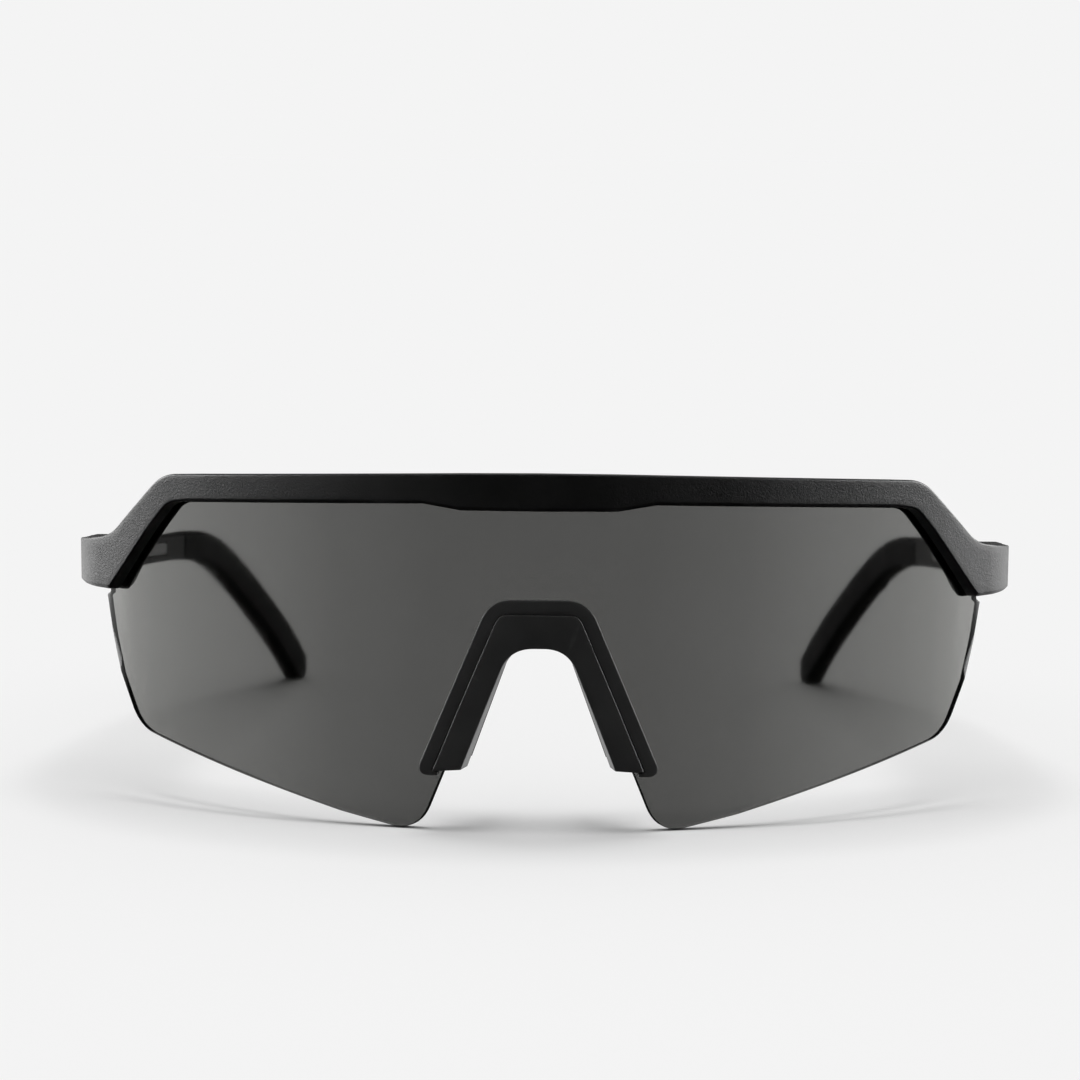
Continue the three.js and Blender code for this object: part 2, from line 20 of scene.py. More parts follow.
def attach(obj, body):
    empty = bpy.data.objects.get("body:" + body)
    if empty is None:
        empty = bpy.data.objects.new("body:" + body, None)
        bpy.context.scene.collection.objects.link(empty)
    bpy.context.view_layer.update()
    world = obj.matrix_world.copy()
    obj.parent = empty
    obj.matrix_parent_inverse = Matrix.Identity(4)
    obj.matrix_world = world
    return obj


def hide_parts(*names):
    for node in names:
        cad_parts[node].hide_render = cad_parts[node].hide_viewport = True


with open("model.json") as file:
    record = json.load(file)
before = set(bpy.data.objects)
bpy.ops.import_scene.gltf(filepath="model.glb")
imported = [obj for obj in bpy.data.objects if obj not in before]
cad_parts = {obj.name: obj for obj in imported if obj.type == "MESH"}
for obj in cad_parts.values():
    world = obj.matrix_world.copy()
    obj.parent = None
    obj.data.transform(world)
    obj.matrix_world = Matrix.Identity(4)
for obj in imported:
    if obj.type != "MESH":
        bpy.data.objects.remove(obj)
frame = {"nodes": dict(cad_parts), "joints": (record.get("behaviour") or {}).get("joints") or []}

LOG = logging.getLogger("sunglasses")
MILLIMETRE = 0.001
WELD_DISTANCE = 1e-6
BISECTIONS = 34
CURVE_STEPS = 24
Corners = tuple[tuple[float, ...], ...]
Span = tuple[float, float]
Triple = tuple[float, float, float]
Socket = bpy.types.NodeSocket


class Side(Enum):
    """Which temple, hinge or pad a piece belongs to, by the sign of its x."""

    LEFT = 1
    RIGHT = -1

    @property
    def word(self) -> str:
        """The side's name as it stands in the names of pieces."""
        return self.name.lower()


# ---------------------------------------------------------------- curves and surfaces


def unit(vectors: np.ndarray) -> np.ndarray:
    """Vectors divided by their own length."""
    return vectors / np.maximum(np.linalg.norm(vectors, axis=-1, keepdims=True), 1e-12)


def smoothstep(values: np.ndarray, low: float, high: float) -> np.ndarray:
    """Nought below low, one above high and 3u squared less 2u cubed between them."""
    u = np.clip((values - low) / (high - low), 0.0, 1.0)
    return u * u * (3.0 - 2.0 * u)


def rounded_line(corners: Corners, count: int) -> np.ndarray:
    """Evenly spaced points on straight legs whose inner corners are quadratic curves.

    A corner's curve starts and ends at its third number over the tangent of half its angle.

    Args:
        corners: (s, z) points, with a rounding as third number on inner ones.
        count: number of equal steps along the whole line.

    Returns:
        Array of shape (count + 1, 2).
    """
    points = np.array([corner[:2] for corner in corners], dtype=float)
    rows = [points[:1]]
    u = np.linspace(0.0, 1.0, CURVE_STEPS)[:, None]
    for before, here, after, corner in zip(points, points[1:], points[2:], corners[1:]):
        back, ahead = unit(before - here), unit(after - here)
        reach = corner[2] / math.tan(math.acos(float(back @ ahead)) / 2.0)
        enter, leave = here + back * reach, here + ahead * reach
        rows.append((1 - u) ** 2 * enter + 2 * u * (1 - u) * here + u**2 * leave)
    rows.append(points[-1:])
    path = np.concatenate(rows)
    gone = np.concatenate([[0.0], np.cumsum(np.linalg.norm(np.diff(path, axis=0), axis=1))])
    at = np.linspace(0.0, gone[-1], count + 1)
    return np.stack([np.interp(at, gone, path[:, k]) for k in (0, 1)], axis=1)


@dataclass(frozen=True)
class Leg:
    """One stretch of a half outline: its lower and its upper line are stepped together."""

    steps: int
    low: Corners
    high: Corners


@dataclass(frozen=True)
class Outline:
    """A flat shape, symmetric about s = 0, between a lower and an upper line."""

    legs: tuple[Leg, ...]
    fineness: int = 5

    def lines(self) -> tuple[np.ndarray, np.ndarray]:
        """Matching lower and upper points from the far left to the far right.

        Returns:
            Two arrays of shape (columns, 2).
        """
        halves = []
        for line in ("low", "high"):
            legs = [rounded_line(getattr(leg, line), leg.steps * self.fineness) for leg in self.legs]
            half = np.concatenate([legs[0], *[leg[1:] for leg in legs[1:]]])
            halves.append(np.concatenate([half[:0:-1] * [-1.0, 1.0], half]))
        return halves[0], halves[1]

    def right_half(self, line: str) -> np.ndarray:
        """The lower or upper line from s = 0 outwards."""
        points = self.lines()[0 if line == "low" else 1]
        return points[len(points) // 2:]


def crossing(low: np.ndarray, high: np.ndarray, border: np.ndarray) -> np.ndarray:
    """How far up each rib, from low to high, the rib passes above a border, by bisection.

    Args:
        low: lower ends of the ribs, (columns, 2).
        high: upper ends of the ribs, (columns, 2).
        border: (s, z) points with rising s, symmetric about s = 0.

    Returns:
        Millimetres along each rib, nought where the rib starts above the border.
    """
    start, end = np.zeros(len(low)), np.ones(len(low))
    for _ in range(BISECTIONS):
        middle = (start + end) / 2.0
        point = low + (high - low) * middle[:, None]
        below = point[:, 1] < np.interp(np.abs(point[:, 0]), border[:, 0], border[:, 1])
        start, end = np.where(below, middle, start), np.where(below, end, middle)
    return start * np.linalg.norm(high - low, axis=1)


def shifted_border(line: np.ndarray, distance: float) -> np.ndarray:
    """A line z(s) moved square to itself: z changes by the distance over the slope's cosine."""
    s, first = np.unique(line[:, 0], return_index=True)
    z = line[first, 1]
    slope = np.gradient(z, s)
    return np.stack([s, z + distance * np.sqrt(1.0 + slope**2)], axis=1)


def in_columns(profile: tuple | list) -> np.ndarray:
    """Profile corners, each a pair of numbers or of arrays over the columns, as (columns, corners, 2)."""
    values = np.broadcast_arrays(*[value for corner in profile for value in corner])
    return np.stack(values, axis=-1).reshape(-1, len(profile), 2)


def rounded_ring(
    corners: np.ndarray, radii: np.ndarray, fill: dict[int, int], steps: int = 3,
) -> np.ndarray:
    """A closed profile whose corners are quadratic curves, the same in every column.

    Args:
        corners: (columns, corners, 2) profile corners in order.
        radii: how far each corner's curve reaches along its two edges.
        fill: extra points on the edge after a corner, by the corner's number.
        steps: steps round each corner.

    Returns:
        Array of shape (columns, points, 2).
    """
    to_before = np.roll(corners, 1, axis=1) - corners
    to_after = np.roll(corners, -1, axis=1) - corners
    shortest = np.minimum(np.linalg.norm(to_before, axis=2), np.linalg.norm(to_after, axis=2))
    reach = np.minimum(radii, 0.48 * shortest)[..., None]
    enter, leave = corners + unit(to_before) * reach, corners + unit(to_after) * reach
    u = np.linspace(0.0, 1.0, steps + 1)[:, None]
    stretches = []
    for k in range(corners.shape[1]):
        a, b, c = enter[:, k, None], corners[:, k, None], leave[:, k, None]
        stretches.append((1 - u) ** 2 * a + 2 * u * (1 - u) * b + u**2 * c)
        if k in fill:
            v = np.linspace(0.0, 1.0, fill[k] + 2)[1:-1, None]
            following = enter[:, (k + 1) % corners.shape[1], None]
            stretches.append(c + (following - c) * v)
    return np.concatenate(stretches, axis=1)


@dataclass
class Shell:
    """One closed surface: points in millimetres, and quads and triangles by point number."""

    points: np.ndarray
    quads: np.ndarray
    triangles: np.ndarray

    @classmethod
    def tube(cls, grid: np.ndarray, closed_rows: bool = False) -> "Shell":
        """A tube through rows of closed rings, with a fan over each end or joined end to end.

        Args:
            grid: (rows, ring points, 3) points.
            closed_rows: True when the last row joins the first, so that there are no ends.

        Returns:
            The shell, turned so that its faces point outwards.
        """
        rows, ring = grid.shape[:2]
        number = np.arange(rows * ring).reshape(rows, ring)
        above = np.roll(number, -1, axis=0) if closed_rows else number[1:]
        below = number if closed_rows else number[:-1]
        quads = np.stack([below, np.roll(below, -1, 1), np.roll(above, -1, 1), above], axis=-1)
        points = grid.reshape(-1, 3)
        triangles = np.zeros((0, 3), dtype=int)
        if not closed_rows:
            first, last = number[0], number[-1]
            centres = np.full(ring, rows * ring), np.full(ring, rows * ring + 1)
            start = np.stack([np.roll(first, -1), first, centres[0]], axis=-1)
            end = np.stack([last, np.roll(last, -1), centres[1]], axis=-1)
            points = np.concatenate([points, grid[[0, -1]].mean(axis=1)])
            triangles = np.concatenate([start, end])
        shell = cls(points, quads.reshape(-1, 4), triangles)
        return shell if shell.volume() > 0.0 else shell.turned()

    def volume(self) -> float:
        """Signed volume: the sum of each triangle's tetrahedron to the origin."""
        split = np.concatenate([self.quads[:, [0, 1, 2]], self.quads[:, [0, 2, 3]], self.triangles])
        a, b, c = (self.points[split[:, k]] for k in range(3))
        return float(np.einsum("ij,ij->i", a, np.cross(b, c)).sum() / 6.0)

    def turned(self) -> "Shell":
        """The same shell with its faces turned round."""
        return Shell(self.points, self.quads[:, ::-1], self.triangles[:, ::-1])


@dataclass(frozen=True)
class Wrap:
    """Plan curve of the lens's outer face: a wide arc, a tight corner, then straight back."""

    radius: float = 88.0
    angle: float = math.radians(49.0)
    corner: float = 15.0
    set_back: float = -2.3
    lean: float = math.tan(math.radians(8.0))

    def bend(self, s: np.ndarray, z: np.ndarray, t: np.ndarray) -> np.ndarray:
        """Points at distance s along the curve, height z and stand-off t, all of one shape."""
        along = np.abs(s)
        length = self.radius * self.angle
        on_wrap = np.minimum(along, length) / self.radius
        on_corner = np.clip((along - length) / self.corner, 0.0, math.pi / 2 - self.angle)
        straight = np.maximum(along - length - on_corner * self.corner, 0.0)
        turn = on_wrap + on_corner
        x = self.radius * np.sin(on_wrap) + self.corner * (np.sin(turn) - np.sin(on_wrap))
        y = self.radius * (1 - np.cos(on_wrap)) + self.corner * (np.cos(on_wrap) - np.cos(turn))
        x = x + t * np.sin(turn)
        y = y + straight - t * np.cos(turn) + self.set_back - z * self.lean
        return np.stack([np.where(s < 0, -x, x), y, z + 0.0 * t], axis=-1)

    def length_at(self, y: float, z: float) -> float:
        """The s on the straight stretch where the curve reaches y at height z."""
        quarter = self.radius * self.angle + self.corner * (math.pi / 2 - self.angle)
        start = self.bend(np.array([quarter]), np.array([z]), np.array([0.0]))[0, 1]
        return quarter + y - float(start)

    def slab(self, low: np.ndarray, high: np.ndarray, ring: np.ndarray) -> Shell:
        """A bent tube: each ring point is (distance up its rib from low to high, stand-off t)."""
        tall = np.linalg.norm(high - low, axis=1)[:, None, None]
        flat = low[:, None] + (high - low)[:, None] / tall * ring[..., :1]
        return Shell.tube(self.bend(flat[..., 0], flat[..., 1], ring[..., 1]))


@dataclass(frozen=True)
class Standing:
    """The worn position tipped to the standing one and moved to the frame's origin."""

    shift: Triple
    tilt: float = math.radians(4.5)

    @classmethod
    def on_joint(cls, joint: dict, own: Triple) -> "Standing":
        """The shift that puts a hinge's own centre, own, on its joint in the frame."""
        tipped = cls((0.0, 0.0, 0.0)).tipped(np.array(own))
        return cls(tuple(np.array(joint["pos_m"]) / MILLIMETRE - tipped))

    def tipped(self, points: np.ndarray) -> np.ndarray:
        """Points turned about x by the tilt, front edge up."""
        y, z = points[..., 1], points[..., 2]
        cos, sin = math.cos(self.tilt), math.sin(self.tilt)
        return np.stack([points[..., 0], y * cos + z * sin, z * cos - y * sin], axis=-1)

    def place(self, points: np.ndarray) -> np.ndarray:
        """Worn millimetres to frame metres."""
        return (self.tipped(points) + np.array(self.shift)) * MILLIMETRE

    def ground_height(self, points: np.ndarray) -> np.ndarray:
        """How far worn points are above the surface that the part stands on."""
        return self.tipped(points)[..., 2] + self.shift[2]


# ---------------------------------------------------------------- finishes


class NodeTree:
    """A node tree with short calls for adding nodes and joining sockets."""

    def __init__(self, tree: bpy.types.NodeTree) -> None:
        """Keeps the tree and empties it."""
        self.tree = tree
        self.tree.nodes.clear()

    def add(self, kind: str, **settings: object) -> bpy.types.Node:
        """Adds a node. A setting is one of its properties, or an input given as in_Name."""
        node = self.tree.nodes.new(kind)
        for key, value in settings.items():
            if key.startswith("in_"):
                self.feed(node.inputs[key[3:].replace("_", " ")], value)
            else:
                setattr(node, key, value)
        return node

    def feed(self, socket: Socket, value: object) -> None:
        """Links a socket to another one, or sets its value."""
        if isinstance(value, Socket):
            self.tree.links.new(value, socket)
        else:
            socket.default_value = value

    def math(self, operation: str, first: object, second: object = 0.0) -> Socket:
        """The result of a maths node on two values or sockets."""
        node = self.add("ShaderNodeMath", operation=operation)
        self.feed(node.inputs[0], first)
        self.feed(node.inputs[1], second)
        return node.outputs[0]

    def blend(self, factor: object, first: Socket, second: Socket) -> Socket:
        """Two shaders mixed by a factor."""
        node = self.add("ShaderNodeMixShader")
        for socket, value in zip(node.inputs, (factor, first, second)):
            self.feed(socket, value)
        return node.outputs[0]

    def noise(self, vector: object, scale: object, detail: float, roughness: float = 0.5) -> Socket:
        """A noise texture's value."""
        node = self.add("ShaderNodeTexNoise", in_Detail=detail, in_Roughness=roughness)
        self.feed(node.inputs["Vector"], vector)
        self.feed(node.inputs["Scale"], scale)
        return node.outputs["Fac"]

    def span(self, value: object, old: Span, new: tuple[object, object]) -> Socket:
        """A value carried from one range to another, held at its ends."""
        node = self.add("ShaderNodeMapRange", in_From_Min=old[0], in_From_Max=old[1])
        self.feed(node.inputs["Value"], value)
        self.feed(node.inputs["To Min"], new[0])
        self.feed(node.inputs["To Max"], new[1])
        return node.outputs[0]

    def ramp(self, value: object, stops: Corners, hue: Triple) -> Socket:
        """A colour by value: the hue times the level of each (place, level) stop, up to one."""
        node = self.add("ShaderNodeValToRGB", in_Fac=value)
        for place, _ in stops[1:-1]:
            node.color_ramp.elements.new(place)
        for element, (place, level) in zip(node.color_ramp.elements, stops):
            element.position = place
            element.color = (*(level * part for part in hue), 1.0)
        return node.outputs[0]

    def mix(self, factor: object, first: object, second: object) -> Socket:
        """Two colours mixed by a factor."""
        node = self.add("ShaderNodeMix", data_type="RGBA")
        self.feed(node.inputs[0], factor)
        self.feed(node.inputs[6], first)
        self.feed(node.inputs[7], second)
        return node.outputs[2]


def new_material(name: str) -> tuple[bpy.types.Material, NodeTree]:
    """An empty material and its node tree."""
    material = bpy.data.materials.new(name)
    material.use_nodes = True
    return material, NodeTree(material.node_tree)


class Effects:
    """Shader node groups that several finishes share: grain, brushing, edge wear and dust."""

    def __init__(self) -> None:
        """Builds each group once."""
        self.grain = self._grain()
        self.brushing = self._brushing()
        self.wear = self._wear()
        self.dust = self._dust()

    @staticmethod
    def _group(
        name: str, inputs: tuple[str, ...], outputs: tuple[str, ...],
    ) -> tuple[NodeTree, dict, bpy.types.Node]:
        """A new group with its sockets, and its input sockets and output node."""
        tree = bpy.data.node_groups.new(name, "ShaderNodeTree")
        for label in inputs:
            kind = "NodeSocketVector" if label == "Vector" else "NodeSocketFloat"
            tree.interface.new_socket(name=label, in_out="INPUT", socket_type=kind)
        for label in outputs:
            tree.interface.new_socket(name=label, in_out="OUTPUT", socket_type="NodeSocketFloat")
        nodes = NodeTree(tree)
        entry = nodes.add("NodeGroupInput")
        return nodes, {label: entry.outputs[label] for label in inputs}, nodes.add("NodeGroupOutput")

    def _grain(self) -> bpy.types.NodeTree:
        """Moulded grain: fine noise with a coarser one under it, and slow mottling."""
        nodes, given, out = self._group("moulded_grain", ("Vector", "Scale"), ("Height", "Tone"))
        fine = nodes.noise(given["Vector"], given["Scale"], 3.0, 0.6)
        coarse = nodes.noise(given["Vector"], nodes.math("MULTIPLY", given["Scale"], 0.31), 2.0)
        height = nodes.math("ADD", nodes.math("MULTIPLY", fine, 0.7), nodes.math("MULTIPLY", coarse, 0.3))
        nodes.feed(out.inputs["Height"], height)
        mottle = nodes.noise(given["Vector"], nodes.math("MULTIPLY", given["Scale"], 0.03), 3.0)
        nodes.feed(out.inputs["Tone"], nodes.span(mottle, (0.3, 0.7), (0.0, 1.0)))
        return nodes.tree

    def _brushing(self) -> bpy.types.NodeTree:
        """Fine lines: noise on coordinates that are squeezed along one axis."""
        nodes, given, out = self._group("brushed_lines", ("Vector", "Scale"), ("Height", "Tone"))
        squeeze = nodes.add("ShaderNodeMapping", in_Vector=given["Vector"], in_Scale=(1.0, 1.0, 0.06))
        lines = nodes.noise(squeeze.outputs[0], given["Scale"], 4.0, 0.65)
        nodes.feed(out.inputs["Height"], lines)
        nodes.feed(out.inputs["Tone"], nodes.span(lines, (0.35, 0.65), (0.0, 1.0)))
        return nodes.tree

    def _wear(self) -> bpy.types.NodeTree:
        """Edge wear: where the surface is convex, broken up by noise."""
        nodes, given, out = self._group("edge_wear", ("Vector", "Scale", "Amount"), ("Mask",))
        convex = nodes.span(nodes.add("ShaderNodeNewGeometry").outputs["Pointiness"], (0.51, 0.6), (0.0, 1.0))
        broken = nodes.span(nodes.noise(given["Vector"], given["Scale"], 3.0), (0.35, 0.7), (0.25, 1.0))
        worn = nodes.math("MULTIPLY", nodes.math("MULTIPLY", convex, broken), given["Amount"])
        nodes.feed(out.inputs["Mask"], worn)
        return nodes.tree

    def _dust(self) -> bpy.types.NodeTree:
        """Dust: the peaks of a fine noise, thicker on surfaces that face up."""
        nodes, given, out = self._group("fine_dust", ("Vector", "Scale", "Amount"), ("Mask",))
        normal = nodes.add("ShaderNodeNewGeometry").outputs["Normal"]
        up = nodes.add("ShaderNodeSeparateXYZ", in_Vector=normal)
        facing = nodes.span(up.outputs["Z"], (-0.2, 1.0), (0.3, 1.0))
        specks = nodes.span(nodes.noise(given["Vector"], given["Scale"], 2.0, 0.7), (0.62, 0.78), (0.0, 1.0))
        lying = nodes.math("MULTIPLY", nodes.math("MULTIPLY", specks, facing), given["Amount"])
        nodes.feed(out.inputs["Mask"], lying)
        return nodes.tree


@dataclass(frozen=True)
class Finish:
    """An opaque finish: base and light tone, gloss, grain or brushing, wear and dust."""

    slot: str
    base: Triple
    light: Triple
    worn: Triple
    roughness: Span
    metallic: float = 0.0
    ior: float = 1.5
    specular: float = 0.5
    grain_scale: float = 5200.0
    grain_depth: float = 0.03
    brushed: bool = False
    wear: float = 0.35
    dust: float = 0.12
    wear_scale: float = 900.0
    dust_scale: float = 3400.0
    dust_tone: Triple = (0.3, 0.29, 0.27)

    def build(self, effects: Effects) -> bpy.types.Material:
        """Makes the material.

        Args:
            effects: the shared node groups.

        Returns:
            The material, named after the slot.
        """
        material, nodes = new_material(self.slot)
        place = nodes.add("ShaderNodeTexCoord").outputs["Object"]
        grain_tree = effects.brushing if self.brushed else effects.grain
        grain = nodes.add("ShaderNodeGroup", node_tree=grain_tree)
        wear = nodes.add("ShaderNodeGroup", node_tree=effects.wear)
        dust = nodes.add("ShaderNodeGroup", node_tree=effects.dust)
        for group, scale in ((grain, self.grain_scale), (wear, self.wear_scale), (dust, self.dust_scale)):
            nodes.feed(group.inputs["Vector"], place)
            nodes.feed(group.inputs["Scale"], scale)
        nodes.feed(wear.inputs["Amount"], self.wear)
        nodes.feed(dust.inputs["Amount"], self.dust)
        toned = nodes.mix(grain.outputs["Tone"], (*self.base, 1.0), (*self.light, 1.0))
        rubbed = nodes.mix(wear.outputs["Mask"], toned, (*self.worn, 1.0))
        dusty = nodes.mix(dust.outputs["Mask"], rubbed, (*self.dust_tone, 1.0))
        rough = nodes.span(grain.outputs["Tone"], (0.0, 1.0), self.roughness)
        bump = nodes.add("ShaderNodeBump", in_Strength=1.0, in_Distance=self.grain_depth * MILLIMETRE)
        nodes.feed(bump.inputs["Height"], grain.outputs["Height"])
        shader = nodes.add("ShaderNodeBsdfPrincipled", in_Base_Color=dusty, in_Roughness=rough)
        nodes.feed(shader.inputs["Normal"], bump.outputs[0])
        shader.inputs["Metallic"].default_value = self.metallic
        shader.inputs["IOR"].default_value = self.ior
        shader.inputs["Specular IOR Level"].default_value = self.specular
        nodes.add("ShaderNodeOutputMaterial", in_Surface=shader.outputs[0])
        return material


@dataclass(frozen=True)
class LensFinish:
    """Smoke-grey glass, darker in the middle and lighter outwards by painted light for the bright background
    and reflections at its sides; clear to light falling through it, with a dark cut edge.
    """

    slot: str = "smoke_lens"
    hue: Triple = (1.0, 1.0, 0.97)
    # painted light: the tint lightens outwards for the brighter background and reflections at the lens's
    # sides; the tint in the middle is the glass's own
    tint_and_painted_light_by_reach: Corners = (
        (0.0, 0.0965), (0.25, 0.0995), (0.47, 0.121), (0.6, 0.152), (0.76, 0.188), (0.84, 0.213),
        (0.92, 0.252), (0.97, 0.305), (1.0, 0.37),
    )
    smudge: Triple = (0.3, 0.3, 0.295)
    half_width: float = 0.064
    arc_centre: Span = (0.0, 0.018)
    edge_tone: Triple = (0.008, 0.008, 0.008)
    edge_span: Span = (0.75, 0.9)
    shade: Triple = (0.9, 0.9, 0.9)
    roughness: Span = (0.04, 0.07)
    ior: float = 1.52
    smudge_scale: float = 60.0
    smudge_share: float = 0.02
    dust_scale: float = 1800.0
    dust: float = 0.1

    def build(self, effects: Effects) -> bpy.types.Material:
        """Makes the material.

        Args:
            effects: the shared node groups.

        Returns:
            The material, named after the slot.
        """
        material, nodes = new_material(self.slot)
        place = nodes.add("ShaderNodeTexCoord").outputs["Object"]
        dust = nodes.add("ShaderNodeGroup", node_tree=effects.dust)
        nodes.feed(dust.inputs["Vector"], place)
        nodes.feed(dust.inputs["Scale"], self.dust_scale)
        nodes.feed(dust.inputs["Amount"], self.dust)
        smear = nodes.span(nodes.noise(place, self.smudge_scale, 4.0, 0.6), (0.45, 0.75), (0.0, 1.0))
        across = nodes.add("ShaderNodeSeparateXYZ", in_Vector=place).outputs["X"]
        out = nodes.span(nodes.math("ABSOLUTE", across), (0.0, self.half_width), (0.0, 1.0))
        # painted light: the glass's tint lightened outwards for the brighter background and reflections at
        # the lens's sides
        tint_and_painted_light = nodes.ramp(out, self.tint_and_painted_light_by_reach, self.hue)
        smeared_tint_and_light = nodes.mix(nodes.math("MULTIPLY", smear, self.smudge_share), tint_and_painted_light, (*self.smudge, 1.0))
        dusty = nodes.mix(dust.outputs["Mask"], smeared_tint_and_light, (*self.smudge, 1.0))
        shader = nodes.add("ShaderNodeBsdfPrincipled", in_Base_Color=dusty)
        nodes.feed(shader.inputs["Roughness"], nodes.span(smear, (0.0, 1.0), self.roughness))
        shader.inputs["Transmission Weight"].default_value = 1.0
        shader.inputs["IOR"].default_value = self.ior
        clear = nodes.add("ShaderNodeBsdfTransparent", in_Color=(*self.shade, 1.0))
        path = nodes.add("ShaderNodeLightPath")
        falling = nodes.math("MAXIMUM", path.outputs["Is Shadow Ray"], path.outputs["Is Diffuse Ray"])
        face = nodes.blend(falling, shader.outputs[0], clear.outputs[0])
        cut = nodes.add("ShaderNodeBsdfDiffuse", in_Color=(*self.edge_tone, 1.0))
        whole = nodes.blend(self._on_face(nodes, place), cut.outputs[0], face)
        nodes.add("ShaderNodeOutputMaterial", in_Surface=whole)
        return material

    def _on_face(self, nodes: NodeTree, place: Socket) -> Socket:
        """One where the surface faces along the wrap's radius, nought on the lens's cut edge."""
        flat = nodes.add("ShaderNodeVectorMath", operation="MULTIPLY", in_Vector=place)
        flat.inputs[1].default_value = (1.0, 1.0, 0.0)
        radial = nodes.add("ShaderNodeVectorMath", operation="SUBTRACT", in_Vector=flat.outputs[0])
        radial.inputs[1].default_value = (*self.arc_centre, 0.0)
        straight = nodes.add("ShaderNodeVectorMath", operation="NORMALIZE", in_Vector=radial.outputs[0])
        facing = nodes.add("ShaderNodeVectorMath", operation="DOT_PRODUCT", in_Vector=straight.outputs[0])
        nodes.feed(facing.inputs[1], nodes.add("ShaderNodeNewGeometry").outputs["Normal"])
        return nodes.span(nodes.math("ABSOLUTE", facing.outputs["Value"]), self.edge_span, (0.0, 1.0))


BLACK_SOFT_TOUCH = Finish(
    slot="soft_touch_frame", base=(0.0015, 0.0015, 0.00155), light=(0.0028, 0.0028, 0.0029),
    worn=(0.02, 0.02, 0.02), roughness=(0.42, 0.5), specular=0.45, grain_scale=3600.0, grain_depth=0.07,
    dust=0.05,
)
TEMPLE_BLACK = replace(BLACK_SOFT_TOUCH, slot="temple_black", specular=0.1)
MOULDED_BLACK = Finish(
    slot="moulded_nosepiece", base=(0.013, 0.013, 0.013), light=(0.017, 0.017, 0.017),
    worn=(0.04, 0.04, 0.04), roughness=(0.42, 0.5), specular=0.4, grain_scale=6400.0, grain_depth=0.02,
    dust=0.05,
)
SOFT_RUBBER = Finish(
    slot="soft_rubber", base=(0.004, 0.004, 0.004), light=(0.006, 0.006, 0.006),
    worn=(0.02, 0.02, 0.02), roughness=(0.6, 0.75), specular=0.06, grain_scale=4200.0, grain_depth=0.025,
    dust=0.1,
)
PAD_SILICONE = Finish(
    slot="pad_silicone", base=(0.012, 0.012, 0.012), light=(0.016, 0.016, 0.016),
    worn=(0.04, 0.04, 0.04), roughness=(0.18, 0.26), specular=0.5, grain_scale=4200.0, grain_depth=0.004,
    dust=0.05,
)
GREY_INLAY = Finish(
    slot="grey_inlay", base=(0.09, 0.09, 0.092), light=(0.12, 0.12, 0.122), worn=(0.2, 0.2, 0.2),
    roughness=(0.38, 0.5), grain_scale=3800.0, grain_depth=0.015,
)
CORE_STEEL = Finish(
    slot="core_steel", base=(0.42, 0.42, 0.43), light=(0.52, 0.52, 0.53), worn=(0.6, 0.6, 0.6),
    roughness=(0.25, 0.4), metallic=1.0, brushed=True, grain_scale=6000.0, grain_depth=0.006, dust=0.02,
)
SCREW_STEEL = Finish(
    slot="screw_steel", base=(0.05, 0.05, 0.052), light=(0.08, 0.08, 0.083), worn=(0.25, 0.25, 0.26),
    roughness=(0.25, 0.38), metallic=1.0, brushed=True, grain_scale=9000.0, grain_depth=0.004, dust=0.03,
)
BUSH_POLYMER = Finish(
    slot="bush_polymer", base=(0.55, 0.53, 0.47), light=(0.62, 0.6, 0.54), worn=(0.7, 0.68, 0.62),
    roughness=(0.4, 0.5), grain_scale=7000.0, grain_depth=0.008,
)
INSERT_BRASS = Finish(
    slot="insert_brass", base=(0.5, 0.34, 0.12), light=(0.62, 0.44, 0.18), worn=(0.75, 0.58, 0.3),
    roughness=(0.25, 0.4), metallic=1.0, brushed=True, grain_scale=8000.0, grain_depth=0.005, dust=0.03,
)


class Workshop:
    """Turns shells into dressed Blender objects that ride on the frame's bodies."""

    def __init__(self, standing: Standing) -> None:
        """Builds every finish once.

        Args:
            standing: carries worn millimetres into the frame.
        """
        self.standing = standing
        effects = Effects()
        finishes = (
            BLACK_SOFT_TOUCH, TEMPLE_BLACK, MOULDED_BLACK, SOFT_RUBBER, PAD_SILICONE, GREY_INLAY,
            CORE_STEEL, SCREW_STEEL, BUSH_POLYMER, INSERT_BRASS, LensFinish(),
        )
        self.materials = {finish.slot: finish.build(effects) for finish in finishes}

    def piece(
        self, name: str, shells: list[Shell], slot: str, body: str, node: str, finish: str = "",
    ) -> bpy.types.Object:
        """Makes one piece that stands for a CAD node.

        Args:
            name: the piece's name.
            shells: its closed surfaces, in worn millimetres.
            slot: a material slot's name; the piece wears that slot's finish when no other finish is named.
            body: the body that it rides on.
            node: the CAD node that it replaces.
            finish: the finish it wears, when that isn't named after the slot.

        Returns:
            The Blender object.
        """
        points, faces, start = [], [], 0
        for shell in shells:
            points.append(self.standing.place(shell.points))
            faces += (shell.quads + start).tolist() + (shell.triangles + start).tolist()
            start += len(shell.points)
        mesh = bpy.data.meshes.new(name)
        mesh.from_pydata(np.concatenate(points).tolist(), [], faces)
        work = bmesh.new()
        work.from_mesh(mesh)
        bmesh.ops.remove_doubles(work, verts=work.verts, dist=WELD_DISTANCE)
        bmesh.ops.dissolve_degenerate(work, edges=work.edges, dist=WELD_DISTANCE)
        work.to_mesh(mesh)
        work.free()
        mesh.shade_smooth()
        mesh.materials.append(self.materials[finish or slot])
        piece = bpy.data.objects.new(name, mesh)
        bpy.context.scene.collection.objects.link(piece)
        weighting = piece.modifiers.new("even_shading", "WEIGHTED_NORMAL")
        weighting.weight = 100
        weighting.keep_sharp = True
        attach(piece, body)
        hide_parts(node)
        LOG.info("%s: %d faces, rides on %s", name, len(mesh.polygons), body)
        return piece

    def dress_node(self, node: str, slot: str) -> None:
        """Gives a CAD node that stays its finish."""
        part = frame["nodes"][node]
        part.data.materials.clear()
        part.data.materials.append(self.materials[slot])
        LOG.info("%s: carried over with %s", node, slot)


# ---------------------------------------------------------------- sub-assemblies

